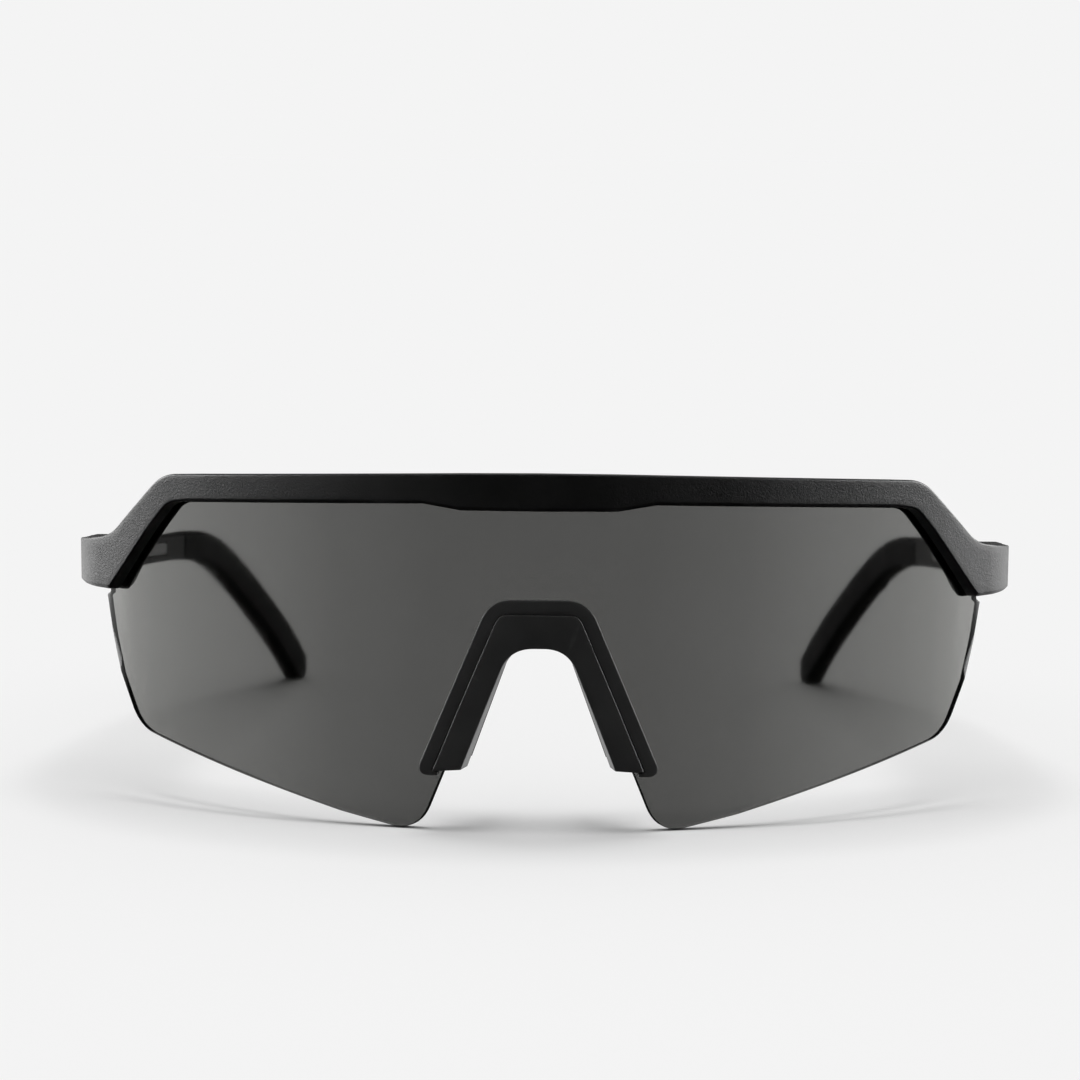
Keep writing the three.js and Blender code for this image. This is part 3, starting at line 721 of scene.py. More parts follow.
LENS_OUTLINE = Outline((
    Leg(5, ((0, 29.3), (5.6, 29.3, 4), (11.9, 13.7)), ((0, 49.7), (14, 49.7))),
    Leg(7, ((11.9, 13.7), (17.9, -0.65, 5), (30, 2.1)), ((14, 49.7), (34, 49.7))),
    Leg(6, ((30, 2.1), (60, 10.4)), ((34, 49.7), (54, 49.7))),
    Leg(8, ((60, 10.4), (68.4, 12.7, 8), (73.0, 20.8)), ((54, 49.7), (59.9, 49.7, 4), (68, 42.2))),
    Leg(4, ((73.0, 20.8), (75.0, 26.8)), ((68, 42.2), (75.3, 35.6))),
    Leg(2, ((75.0, 26.8), (75.9, 30.3)), ((75.3, 35.6), (75.4, 33.4))),
    Leg(1, ((75.9, 30.3), (76.4, 32.4)), ((75.4, 33.4), (76.4, 32.9))),
))
SEAT_GAP = 0.05


@dataclass
class ShieldLens:
    """The one-piece lens: a bent sheet with eased edges and a nose cut-out."""

    wrap: Wrap
    shop: Workshop
    thickness: float = 2.0
    edge: float = 0.3
    face_points: int = 9

    def build(self) -> bpy.types.Object:
        """Bends a rounded strip between the lens's lower and upper lines."""
        low, high = LENS_OUTLINE.lines()
        tall = np.linalg.norm(high - low, axis=1)
        profile = ((0.0, 0.0), (tall, 0.0), (tall, -self.thickness), (0.0, -self.thickness))
        fill = {0: self.face_points, 2: self.face_points}
        ring = rounded_ring(in_columns(profile), np.full(4, self.edge), fill)
        shell = self.wrap.slab(low, high, ring)
        return self.shop.piece("shield_lens", [shell], "smoke_lens", "front", "lens")


@dataclass
class Hinge:
    """One hinge: the sizes of its fork, tongue, screw, bush and insert, about an upright axis."""

    shop: Workshop
    side: Side
    centre: Triple = (69.3, 45.2, 38.1)
    lug_half_width: float = 3.0
    lug_height: float = 1.8
    lug_root: float = 4.6
    lug_corner: float = 0.5
    tongue_radius: float = 2.8
    tongue_height: float = 2.2
    tongue_root: float = 5.4
    plate_ease: float = 0.15
    gap: float = 0.3
    bore: float = 1.0
    sleeve: float = 1.5
    shank: float = 0.7
    head: float = 1.4
    head_height: float = 0.8
    head_ease: float = 0.18
    head_sunk: float = 0.1
    end_inset: float = 0.4
    insert_inset: float = 0.4
    insert_shortening: float = 0.7
    knurl_depth: float = 0.08
    knurl_turns: int = 24
    recess_depth: float = 0.5
    recess_radius: float = 0.62
    lobe_depth: float = 0.12
    lobe_turns: int = 6
    thread_depth: float = 0.08
    thread_pitch: float = 0.35
    turns: int = 96

    @property
    def bottom(self) -> float:
        """Underside of the lower lug."""
        return self.centre[2] - self.tongue_height / 2 - self.gap - self.lug_height

    @property
    def tongue_span(self) -> Span:
        """Underside and top of the temple's tongue."""
        return self.centre[2] - self.tongue_height / 2, self.centre[2] + self.tongue_height / 2

    @property
    def top(self) -> float:
        """Top of the upper lug."""
        return self.centre[2] + self.tongue_height / 2 + self.gap + self.lug_height

    def _angles(self, corners: Corners = ()) -> np.ndarray:
        """Even angles about the axis, and the angle of each corner point."""
        even = np.linspace(-math.pi, math.pi, self.turns, endpoint=False)
        sharp = [math.atan2(y, x) for x, y in corners]
        return np.unique(np.concatenate([even, sharp]))

    def _reach(self, angles: np.ndarray, walls: Corners, radius: float, rounded: np.ndarray) -> np.ndarray:
        """Distance from the axis to flat walls (x and y of the normal, distance), or to a radius.

        Along a direction, a wall is its distance over the cosine to its normal away.
        """
        reach = np.full(len(angles), np.inf)
        for x, y, distance in walls:
            facing = x * np.cos(angles) + y * np.sin(angles)
            reach = np.minimum(reach, np.where(facing > 1e-6, distance / np.maximum(facing, 1e-6), np.inf))
        return np.where(rounded, np.minimum(reach, radius), reach)

    def _place(self, radius: np.ndarray, angles: np.ndarray, height: np.ndarray) -> np.ndarray:
        """Cylinder coordinates about the axis to worn points, angle 0 pointing away from the head."""
        x = self.side.value * (self.centre[0] + radius * np.cos(angles))
        return np.stack([x, self.centre[1] + radius * np.sin(angles), height + 0.0 * radius], axis=-1)

    def _plate(self, angles: np.ndarray, profile: list[tuple[object, float]], ease: float) -> Shell:
        """A plate with a bore: profile corners of (radius or radii, height), carried round the axis."""
        ring = rounded_ring(in_columns(profile), np.full(len(profile), ease), {})
        return Shell.tube(self._place(ring[..., 0], angles[:, None], ring[..., 1]), closed_rows=True)

    def lugs(self) -> list[Shell]:
        """The fork's two lugs, square outside where they stop the open temple, round inside."""
        half, corner = self.lug_half_width, self.lug_corner
        angles = self._angles((
            (half, -self.lug_root), (-half, -self.lug_root), (half, half - corner), (half - corner, half),
            (0.0, half), (-half, 0.0),
        ))
        diagonal = (2 * half - corner) / math.sqrt(2)
        walls = ((1, 0, half), (-1, 0, half), (0, 1, half), (0, -1, self.lug_root))
        walls = (*walls, (math.sqrt(0.5), math.sqrt(0.5), diagonal))
        outer = self._reach(angles, walls, half, (np.cos(angles) < 0) & (np.sin(angles) > 0))
        lower_top, upper_bottom = self.bottom + self.lug_height, self.top - self.lug_height
        insert_seat = lower_top - self.insert_inset
        head_seat = self.top - self.head_height - self.gap - self.head_sunk
        wide, seat = self.sleeve + self.gap, self.head + self.gap
        lower = [
            (outer, self.bottom), (outer, lower_top), (self.bore, lower_top),
            (self.bore, insert_seat), (wide, insert_seat), (wide, self.bottom),
        ]
        upper = [
            (outer, upper_bottom), (outer, self.top), (seat, self.top),
            (seat, head_seat), (self.bore, head_seat), (self.bore, upper_bottom),
        ]
        return [self._plate(angles, lower, self.plate_ease), self._plate(angles, upper, self.plate_ease)]

    def tongue(self) -> Shell:
        """The temple's tongue, round in front and straight back to the arm, with the bush's bore."""
        radius, root = self.tongue_radius, self.tongue_root
        angles = self._angles(((radius, 0.0), (-radius, 0.0), (radius, root), (-radius, root)))
        walls = ((1, 0, radius), (-1, 0, radius), (0, 1, root))
        outer = self._reach(angles, walls, radius, np.sin(angles) < 0)
        bottom, top = self.tongue_span
        wide = self.sleeve + self.gap
        profile = [(outer, bottom), (outer, top), (wide, top), (wide, bottom)]
        return self._plate(angles, profile, self.plate_ease)

    def screw(self) -> Shell:
        """Screw: rows from the shank's end, up a threaded shank and over a head with a six-lobed recess.

        The thread is a triangle wave of height over pitch plus turn; the lobes are a cosine of six turns.
        """
        angles = np.linspace(0.0, 2 * math.pi, self.turns, endpoint=False)
        end, head_top = self.bottom + self.end_inset, self.top - self.head_sunk
        seat = head_top - self.head_height
        thread_end = self.bottom + self.lug_height + 0.2
        heights = np.linspace(end, thread_end, 60)[:, None]
        wave = np.abs(2 * ((heights / self.thread_pitch + angles / (2 * math.pi)) % 1.0) - 1)
        fade = smoothstep(heights, end, end + 0.15) * (1 - smoothstep(heights, thread_end - 0.2, thread_end))
        thread = self.shank - self.thread_depth * (1 - fade) - self.thread_depth * fade * wave
        lobes = (self.recess_radius + self.lobe_depth * np.cos(self.lobe_turns * angles))[None]
        shank = self.shank + 0.0 * angles[None]
        head = self.head + 0.0 * angles[None]
        ease = np.linspace(0.0, math.pi / 2, 5)[:, None]
        over = self.head - self.head_ease * (1 - np.cos(ease)) + 0.0 * angles
        rows = [
            (0.6 * shank, end), (thread, heights), (shank, thread_end), (shank, seat),
            (head - 0.06, seat), (head, seat + 0.06),
            (over, head_top - self.head_ease + self.head_ease * np.sin(ease)),
            (lobes + 0.05, head_top), (lobes, head_top - 0.05),
            (lobes - 0.02, head_top - self.recess_depth),
            (0.5 * lobes, head_top - self.recess_depth - 0.03),
        ]
        radius = np.concatenate([row[0] for row in rows])
        height = np.concatenate([row[1] + 0.0 * row[0] for row in rows])
        return Shell.tube(self._place(radius, angles[None], height))

    def sleeve_ring(self, bottom: float, top: float, knurl: float) -> Shell:
        """A plain sleeve, or with a knurl depth one whose outside is a cosine of many turns."""
        angles = self._angles()
        outer = self.sleeve - knurl * (0.5 - 0.5 * np.cos(self.knurl_turns * angles))
        profile = [(outer, bottom), (outer, top), (self.bore, top), (self.bore, bottom)]
        return self._plate(angles, profile, 0.1)

    def build(self) -> None:
        """Makes the screw, the bush and the insert."""
        word = self.side.word
        low, high = self.tongue_span
        self.shop.piece(f"pivot_screw_{word}", [self.screw()], "screw_steel", "front", f"hinge_screw_{word}")
        bush = self.sleeve_ring(low, high, 0.0)
        self.shop.piece(f"pivot_bush_{word}", [bush], "bush_polymer", f"temple_{word}", f"hinge_bush_{word}")
        insert_top = self.bottom + self.lug_height - self.insert_shortening
        insert = self.sleeve_ring(self.bottom, insert_top, self.knurl_depth)
        self.shop.piece(f"threaded_insert_{word}", [insert], "insert_brass", "front", f"hinge_insert_{word}")


@dataclass
class FrontFrame:
    """Brow bar, diagonals and endpieces in one moulding, with a lens groove and two hinge forks."""

    wrap: Wrap
    shop: Workshop
    hinges: tuple[Hinge, ...]
    depth: Span = (-3.8, 2.2)
    groove: Span = (-2.0 - SEAT_GAP, SEAT_GAP)
    top_round: float = 0.35
    low_bevel: float = 0.45
    rear_low_bevel: float = 1.2
    rear_bevel_depth: float = 1.2
    lens_end: float = 75.3
    fork_floor: float = 41.8
    diagonal_span: Span = (54, 60)
    endpiece_span: Span = (69, 75)
    hinge_span: Span = (80, 90)
    low_changes: Triple = (-0.3, 0.1, -0.2)
    endpiece_rear_change: float = -0.6
    face_points: int = 5

    def outline(self) -> Outline:
        """The bar's outline: the last leg ends on the fork's floor, which cuts the two lines apart."""
        low_end, high_end = (self.wrap.length_at(self.fork_floor, z) for z in (34.85, 41.3))
        return Outline((
            Leg(3, ((0, 46.95), (11.2, 47.0)), ((0, 52.4), (11.2, 52.33))),
            Leg(2, ((11.2, 47.0), (16.8, 47.95)), ((11.2, 52.33), (16.8, 52.25))),
            Leg(10, ((16.8, 47.95), (52, 47.6)), ((16.8, 52.25), (52, 51.75))),
            Leg(
                6, ((52, 47.6), (58.9, 47.5, 4.5), (62.5, 44.2)),
                ((52, 51.75), (60.1, 51.65, 8), (65.5, 47.35)),
            ),
            Leg(4, ((62.5, 44.2), (70.6, 36.1)), ((65.5, 47.35), (69, 44.6))),
            Leg(
                6, ((70.6, 36.1), (72.9, 33.8, 1.2), (77, 34.0)),
                ((69, 44.6), (72.1, 42.14, 9), (77.5, 41.6)),
            ),
            Leg(5, ((77, 34.0), (86, 34.7)), ((77.5, 41.6), (86, 41.3))),
            Leg(3, ((86, 34.7), (low_end, 34.85)), ((86, 41.3), (high_end, 41.3))),
        ))

    def groove_depths(self, low: np.ndarray, high: np.ndarray) -> np.ndarray:
        """How far the lens reaches up each rib, nought past the lens's shoulder."""
        border = shifted_border(LENS_OUTLINE.right_half("high"), SEAT_GAP)
        border = border[border[:, 0] <= self.lens_end]
        end = np.array([[self.lens_end + SEAT_GAP, border[-1, 1]], [self.lens_end + 2 * SEAT_GAP, 0.0]])
        return crossing(low, high, np.concatenate([border, end]))

    def bar(self) -> Shell:
        """A bevelled profile with the groove in its underside, carried along the wrap."""
        low, high = self.outline().lines()
        along, tall = np.abs(low[:, 0]), np.linalg.norm(high - low, axis=1)
        at_end, at_hinge = smoothstep(along, *self.endpiece_span), smoothstep(along, *self.hinge_span)
        on_diagonal = smoothstep(along, *self.diagonal_span) * (1 - at_end)
        diagonal_change, end_change, hinge_change = self.low_changes
        bevel = self.low_bevel + diagonal_change * on_diagonal + end_change * at_end + hinge_change * at_hinge
        rear = self.rear_low_bevel + on_diagonal + self.endpiece_rear_change * at_end
        groove = self.groove_depths(low, high)
        back, front = self.depth
        seat_back, seat_front = self.groove
        profile = (
            (bevel, front), (tall, front), (tall, back), (rear, back),
            (0.0, back + np.minimum(rear, self.rear_bevel_depth)), (0.0, seat_back),
            (groove, seat_back), (groove, seat_front), (0.0, seat_front), (0.0, front - bevel),
        )
        radii = np.array([0.12, self.top_round, self.top_round, 0.35, 0.2, 0.06, 0.06, 0.06, 0.08, 0.12])
        fill = {0: self.face_points, 1: 3, 2: self.face_points}
        ring = rounded_ring(in_columns(profile), radii, fill, steps=4)
        return self.wrap.slab(low, high, ring)

    def build(self) -> None:
        """Makes the front with both forks."""
        shells = [self.bar(), *[lug for hinge in self.hinges for lug in hinge.lugs()]]
        self.shop.piece("brow_frame", shells, "soft_touch_frame", "front", "front_frame")


@dataclass
class Nosepiece:
    """Arch on the lens's nose cut-out, the band round it and two soft pads behind it."""

    wrap: Wrap
    shop: Workshop
    panel_depth: Span = (-4.8, 1.8)
    panel_chamfer: float = 0.08
    band_depth: Span = (SEAT_GAP, 1.3)
    groove: Span = (-2.0 - SEAT_GAP, SEAT_GAP)
    pad_heights: Span = (10.5, 24.5)
    pad_reach: float = 9.0
    pad_wall: float = 2.2
    pad_flare: float = 2.6
    pad_flare_power: float = 5.0
    pad_set: float = -0.05
    pad_rows: int = 64
    pocket_lip: float = 0.02
    pocket_end_wall: float = 0.6
    pocket_depth: float = 0.6
    pocket_reach: Span = (0.25, 8.3)
    pockets: Corners = ((11.6, 11.95), (12.6, 13.5), (16.3, 20.7))
    inner_edge: Corners = ((7.4, 18.6), (11.1, 9.0))
    panel_outline: Outline = field(default_factory=lambda: Outline((
        Leg(9, ((0, 26.95), (4.15, 26.95, 5.0), (7.4, 18.6)), ((0, 31.85), (5.7, 31.85, 2.2), (10.7, 19.9))),
        Leg(4, ((7.4, 18.6), (11.1, 9.0)), ((10.7, 19.9), (15.3, 8.7))),
    ), 8))
    band_outline: Outline = field(default_factory=lambda: Outline((
        Leg(9, ((0, 31.9), (5.75, 31.9, 2.2), (10.75, 19.9)), ((0, 34.0), (7.1, 34.0, 5.0), (12.9, 20.2))),
        Leg(4, ((10.75, 19.9), (15.3, 9.3)), ((12.9, 20.2), (17.25, 9.9))),
        Leg(
            5, ((15.3, 9.3), (15.5, 8.75, 0.2), (14.6, 8.55)),
            ((17.25, 9.9), (17.75, 8.05, 1.5), (14.6, 8.05)),
        ),
    ), 8))

    def panel(self) -> Shell:
        """The arch: a chamfered profile with the lens groove in its outer edge."""
        low, high = self.panel_outline.lines()
        border = shifted_border(LENS_OUTLINE.right_half("low"), -SEAT_GAP)
        tall = np.linalg.norm(high - low, axis=1)
        groove = np.minimum(crossing(low, high, border), tall - 0.02)
        back, front = self.panel_depth
        seat_back, seat_front = self.groove
        chamfer = self.panel_chamfer
        profile = (
            (0.0, front), (tall - chamfer, front), (tall, front - chamfer), (tall, seat_front),
            (groove, seat_front), (groove, seat_back), (tall, seat_back), (tall, back), (0.0, back),
        )
        radii = np.array([0.3, 0.04, 0.04, 0.04, 0.04, 0.04, 0.04, 0.4, 0.5])
        return self.wrap.slab(low, high, rounded_ring(in_columns(profile), radii, {0: 3, 7: 3}))

    def band(self) -> Shell:
        """The band: a soft-edged profile that hooks in under the panel at each foot."""
        low, high = self.band_outline.lines()
        tall = np.linalg.norm(high - low, axis=1)
        back, front = self.band_depth
        profile = ((0.0, front), (tall, front), (tall, back), (0.0, back))
        radii = np.array([0.08, 0.25, 0.1, 0.05])
        return self.wrap.slab(low, high, rounded_ring(in_columns(profile), radii, {0: 2}, steps=4))

    def pad(self, side: Side) -> Shell:
        """A pad: rings of (back, across) stepped in height, flaring as the fifth power of the way back.

        Its reach falls towards both ends as the root of one less three quarters of the height squared.
        """
        bottom, top = self.pad_heights
        edges = np.array(self.pockets).ravel()
        even = np.linspace(bottom, top, self.pad_rows)
        height = np.unique(np.concatenate([even, edges - self.pocket_lip, edges + self.pocket_lip]))
        level = 2 * (height - bottom) / (top - bottom) - 1
        reach = self.pad_reach * np.sqrt(1 - 0.75 * level**2)
        pocket = np.zeros(len(height))
        for low, high in self.pockets:
            pocket = np.where((height > low) & (height < high), self.pocket_depth, pocket)
        wall = self.pad_wall * (1 - 0.35 * level**8)
        start, end = self.pocket_reach[0], np.minimum(self.pocket_reach[1], reach - self.pocket_end_wall)
        profile = (
            (0.0, 0.0), (start, 0.0), (start, pocket), (end, pocket), (end, 0.0),
            (reach, 0.0), (reach, wall), (0.0, wall),
        )
        radii = np.array([0.05, 0.05, 0.1, 0.1, 0.08, 0.7, 0.9, 0.2])
        ring = rounded_ring(in_columns(profile), radii, {0: 1, 2: 10, 4: 1, 5: 2, 6: 14}, steps=4)
        (edge_s, edge_z), (low_s, low_z) = self.inner_edge
        inner = edge_s + (low_s - edge_s) * (height - edge_z) / (low_z - edge_z) + self.pad_set
        root = self.wrap.bend(inner, height, np.full(len(height), self.panel_depth[0]))
        back, across = ring[..., 0], ring[..., 1]
        x = root[:, None, 0] + self.pad_flare * (back / self.pad_reach) ** self.pad_flare_power + across
        y = root[:, None, 1] + back
        return Shell.tube(np.stack([side.value * x, y, height[:, None] + 0.0 * x], axis=-1))

    def build(self) -> None:
        """Makes the panel, the band and both pads."""
        self.shop.piece("nose_panel", [self.panel()], "moulded_nosepiece", "front", "nose_carrier")
        self.shop.piece("nose_band", [self.band()], "moulded_nosepiece", "front", "nose_rim")
        for side in Side:
            shell, word = self.pad(side), side.word
            node = f"nose_pad_{word}"
            self.shop.piece(f"soft_pad_{word}", [shell], "soft_rubber", "front", node, "pad_silicone")
        self.shop.dress_node("nose_core", "core_steel")


@dataclass
class TempleLine:
    """The temple's centre line and size: rows of y, x, z, height and thickness from the hinge."""

    rows: Corners = (
        (48.6, 69.3, 38.1, 6.2, 5.6),
        (60, 68.5, 38.2, 4.9, 4.2),
        (74, 66.6, 38.2, 4.4, 3.6),
        (86, 64.4, 38.2, 4.5, 3.4),
        (96, 62.2, 37.9, 4.9, 3.3),
        (104, 60.2, 36.2, 5.2, 3.3),
        (114, 57.5, 31.9, 5.4, 3.3),
        (126, 54.2, 25.6, 5.5, 3.3),
        (138, 51.0, 18.6, 5.7, 3.3),
        (150, 48.2, 10.6, 5.7, 3.3),
    )

    @staticmethod
    def _through(points: np.ndarray, ends: np.ndarray, u: np.ndarray, power: float) -> np.ndarray:
        """A Catmull-Rom curve whose knots are the point distances to a power, nought for even ones."""
        padded = np.concatenate([ends[:1], points, ends[1:]])
        at = np.clip(u, 0.0, 1.0) * (len(points) - 1)
        index = np.minimum(at.astype(int), len(points) - 2)
        w = (at - index)[..., None]
        p0, p1, p2, p3 = (padded[index + k] for k in range(4))
        d0, d1, d2 = (
            np.maximum(np.linalg.norm(b - a, axis=-1, keepdims=True), 1e-9) ** power
            for a, b in ((p0, p1), (p1, p2), (p2, p3))
        )
        start = ((p1 - p0) / d0 - (p2 - p0) / (d0 + d1) + (p2 - p1) / d1) * d1
        end = ((p2 - p1) / d1 - (p3 - p1) / (d1 + d2) + (p3 - p2) / d2) * d1
        return (
            p1 + start * w + (3 * (p2 - p1) - 2 * start - end) * w**2
            + (2 * (p1 - p2) + start + end) * w**3
        )

    def centre(self, u: np.ndarray) -> np.ndarray:
        """Centre line points, centripetal, from u = 0 at the hinge to u = 1 past the tip."""
        points = np.array(self.rows)[:, [1, 0, 2]]
        ends = np.stack([2 * points[0] - points[1], 2 * points[-1] - points[-2]])
        return self._through(points, ends, u, 0.5)

    def size(self, u: np.ndarray) -> np.ndarray:
        """Thickness and height of the section."""
        sizes = np.array(self.rows)[:, [4, 3]]
        return self._through(sizes, sizes[[0, -1]], u, 0.0)

    def sweep(self, u: np.ndarray, section: np.ndarray, side: Side) -> np.ndarray:
        """Section points (outward, up) carried along the line: each is the centre plus both offsets."""
        step = 1e-4
        along = unit(self.centre(np.minimum(u + step, 1.0)) - self.centre(u - step))
        outward = unit(np.stack([along[..., 1], -along[..., 0], 0.0 * along[..., 0]], axis=-1))
        up = np.cross(outward, along)
        points = self.centre(u) + outward * section[..., :1] + up * section[..., 1:]
        return points * [side.value, 1.0, 1.0]


@dataclass
class Temple:
    """One temple: a stiff arm with an inlay and a hinge tongue, and a rubber sleeve with a cut end."""

    line: TempleLine
    shop: Workshop
    hinge: Hinge
    sleeve_start: float = 3 / 9
    sleeve_gap: float = 0.0012
    sleeve_swell: float = 0.12
    end_y: float = 147.0
    end_round: float = 1.6
    edge_round: float = 1.05
    rim_round: float = 0.45
    length: float = 104.0
    inlay_span: Span = (0.06, 0.238)
    inlay_half: float = 1.0
    inlay_thickness: float = 0.4
    inlay_gap: float = 0.12
    inlay_sunk: float = 0.02

    def _rectangle(self, size: np.ndarray, radius: float, inset: np.ndarray) -> np.ndarray:
        """Rounded rectangles of (rows, 2) thickness and height, drawn in by an inset."""
        x, z = size[:, 0] / 2 - inset, size[:, 1] / 2 - inset
        corners = in_columns(((-x, -z), (x, -z), (x, z), (-x, z)))
        return rounded_ring(corners, np.full(4, radius), {0: 3, 1: 5, 2: 3, 3: 5}, steps=6)

    def _end_inset(self, u: np.ndarray, start: float, end: float, radius: float) -> np.ndarray:
        """How far a section draws in near both ends: the radius less a circle's height."""
        gone = np.minimum(u - start, end - u) * self.length
        return radius - np.sqrt(radius**2 - (radius - np.clip(gone, 0.0, radius)) ** 2)

    def _swept(self, u: np.ndarray, ring: np.ndarray) -> Shell:
        """A shell through one ring of section points at each u."""
        return Shell.tube(self.line.sweep(u[:, None] + 0.0 * ring[..., 0], ring, self.hinge.side))

    def arm(self) -> Shell:
        """The arm's section with the inlay's recess in its inner face."""
        end = self.sleeve_start - self.sleeve_gap
        gap = self.inlay_gap / self.length
        low, high = self.inlay_span[0] - gap, self.inlay_span[1] + gap
        near = np.array([0.0, 0.0004, 0.001, 0.002, 0.0035, 0.005])
        edges = np.array([low, low + 1e-5, high - 1e-5, high])
        u = np.unique(np.concatenate([np.linspace(0.0, end, 90), near, end - near, edges]))
        size = self.line.size(u)
        inset = self._end_inset(u, 0.0, end, 0.4)
        x, z = size[:, 0] / 2 - inset, size[:, 1] / 2 - inset
        inside = (u > low) & (u < high)
        floor = -x + np.where(inside, self.inlay_thickness + self.inlay_sunk, 0.0)
        lip = self.inlay_half + self.inlay_gap
        profile = ((-x, -z), (x, -z), (x, z), (-x, z), (-x, lip), (floor, lip), (floor, -lip), (-x, -lip))
        radii = np.array([self.edge_round] * 4 + [0.06, 0.02, 0.02, 0.06])
        return self._swept(u, rounded_ring(in_columns(profile), radii, {0: 3, 1: 5, 2: 3, 5: 3}, steps=6))

    def inlay(self) -> Shell:
        """A thin plate that follows the arm's inner face, with its visible edge eased."""
        u = np.linspace(*self.inlay_span, 60)
        outer = -self.line.size(u)[:, 0] / 2
        inset = self._end_inset(u, *self.inlay_span, 0.2)
        floor = outer + self.inlay_thickness
        high = self.inlay_half - inset
        face = outer + self.inlay_sunk
        profile = ((face, -high), (floor, -high), (floor, high), (face, high))
        return self._swept(u, rounded_ring(in_columns(profile), np.array([0.12, 0.02, 0.02, 0.12]), {3: 4}))

    def _past_end(self, points: np.ndarray) -> np.ndarray:
        """How far points are past the sleeve's end: a rounded corner between its rear and its foot."""
        past_rear = points[..., 1] - self.end_y + self.end_round
        under = self.end_round - self.shop.standing.ground_height(points)
        outside = np.hypot(np.maximum(past_rear, 0.0), np.maximum(under, 0.0))
        return outside + np.minimum(np.maximum(past_rear, under), 0.0) - self.end_round

    def _end_at(self, section: np.ndarray, depth: float) -> np.ndarray:
        """For each section point, the u where its line comes within a depth of the end, by bisection."""
        start, end = np.full(len(section), 0.6), np.full(len(section), 1.0)
        for _ in range(BISECTIONS):
            middle = (start + end) / 2
            inside = self._past_end(self.line.sweep(middle, section, self.hinge.side)) < -depth
            start, end = np.where(inside, middle, start), np.where(inside, end, middle)
        return start

    def sleeve(self) -> Shell:
        """The sleeve: its section to the end surface, then rings that close over that surface."""
        radius, swell = self.rim_round, self.sleeve_swell
        near = np.array([0.0, 0.0004, 0.001, 0.002, 0.004])
        fraction = np.unique(np.concatenate([np.linspace(0.0, 1.0, 120), near]))
        last = self.line.size(np.array([0.93])) + 2 * swell
        final = self._rectangle(last, self.edge_round, np.zeros(1))[0]
        stop = self._end_at(final, radius)
        u = self.sleeve_start + (stop[None] - self.sleeve_start) * fraction[:, None]
        middle = u.mean(axis=1)
        inset = self._end_inset(middle, self.sleeve_start, 2.0, 0.3)
        size = self.line.size(middle) + 2 * swell
        rings = [self.line.sweep(u, self._rectangle(size, self.edge_round, inset), self.hinge.side)]
        for turn in np.linspace(0.0, math.pi / 2, 6)[1:]:
            drawn = self._rectangle(last, self.edge_round, np.full(1, radius * (1 - math.cos(turn))))[0]
            end = self._end_at(drawn, radius * (1 - math.sin(turn)))
            rings.append(self.line.sweep(end, drawn, self.hinge.side)[None])
        for scale in (0.75, 0.5, 0.25, 0.05):
            end = self._end_at(drawn * scale, 0.0)
            rings.append(self.line.sweep(end, drawn * scale, self.hinge.side)[None])
        return Shell.tube(np.concatenate(rings))

    def build(self) -> None:
        """Makes the arm with its tongue, the inlay and the sleeve, and dresses the core."""
        word = self.hinge.side.word
        body = f"temple_{word}"
        shells = [self.arm(), self.hinge.tongue()]
        node = f"temple_arm_{word}"
        self.shop.piece(f"arm_shell_{word}", shells, "soft_touch_frame", body, node, "temple_black")
        self.shop.piece(f"inlay_plate_{word}", [self.inlay()], "grey_inlay", body, f"arm_inlay_{word}")
        self.shop.piece(f"rubber_sleeve_{word}", [self.sleeve()], "soft_rubber", body, f"temple_tip_{word}")
        self.shop.dress_node(f"temple_core_{word}", "core_steel")


# ---------------------------------------------------------------- studio


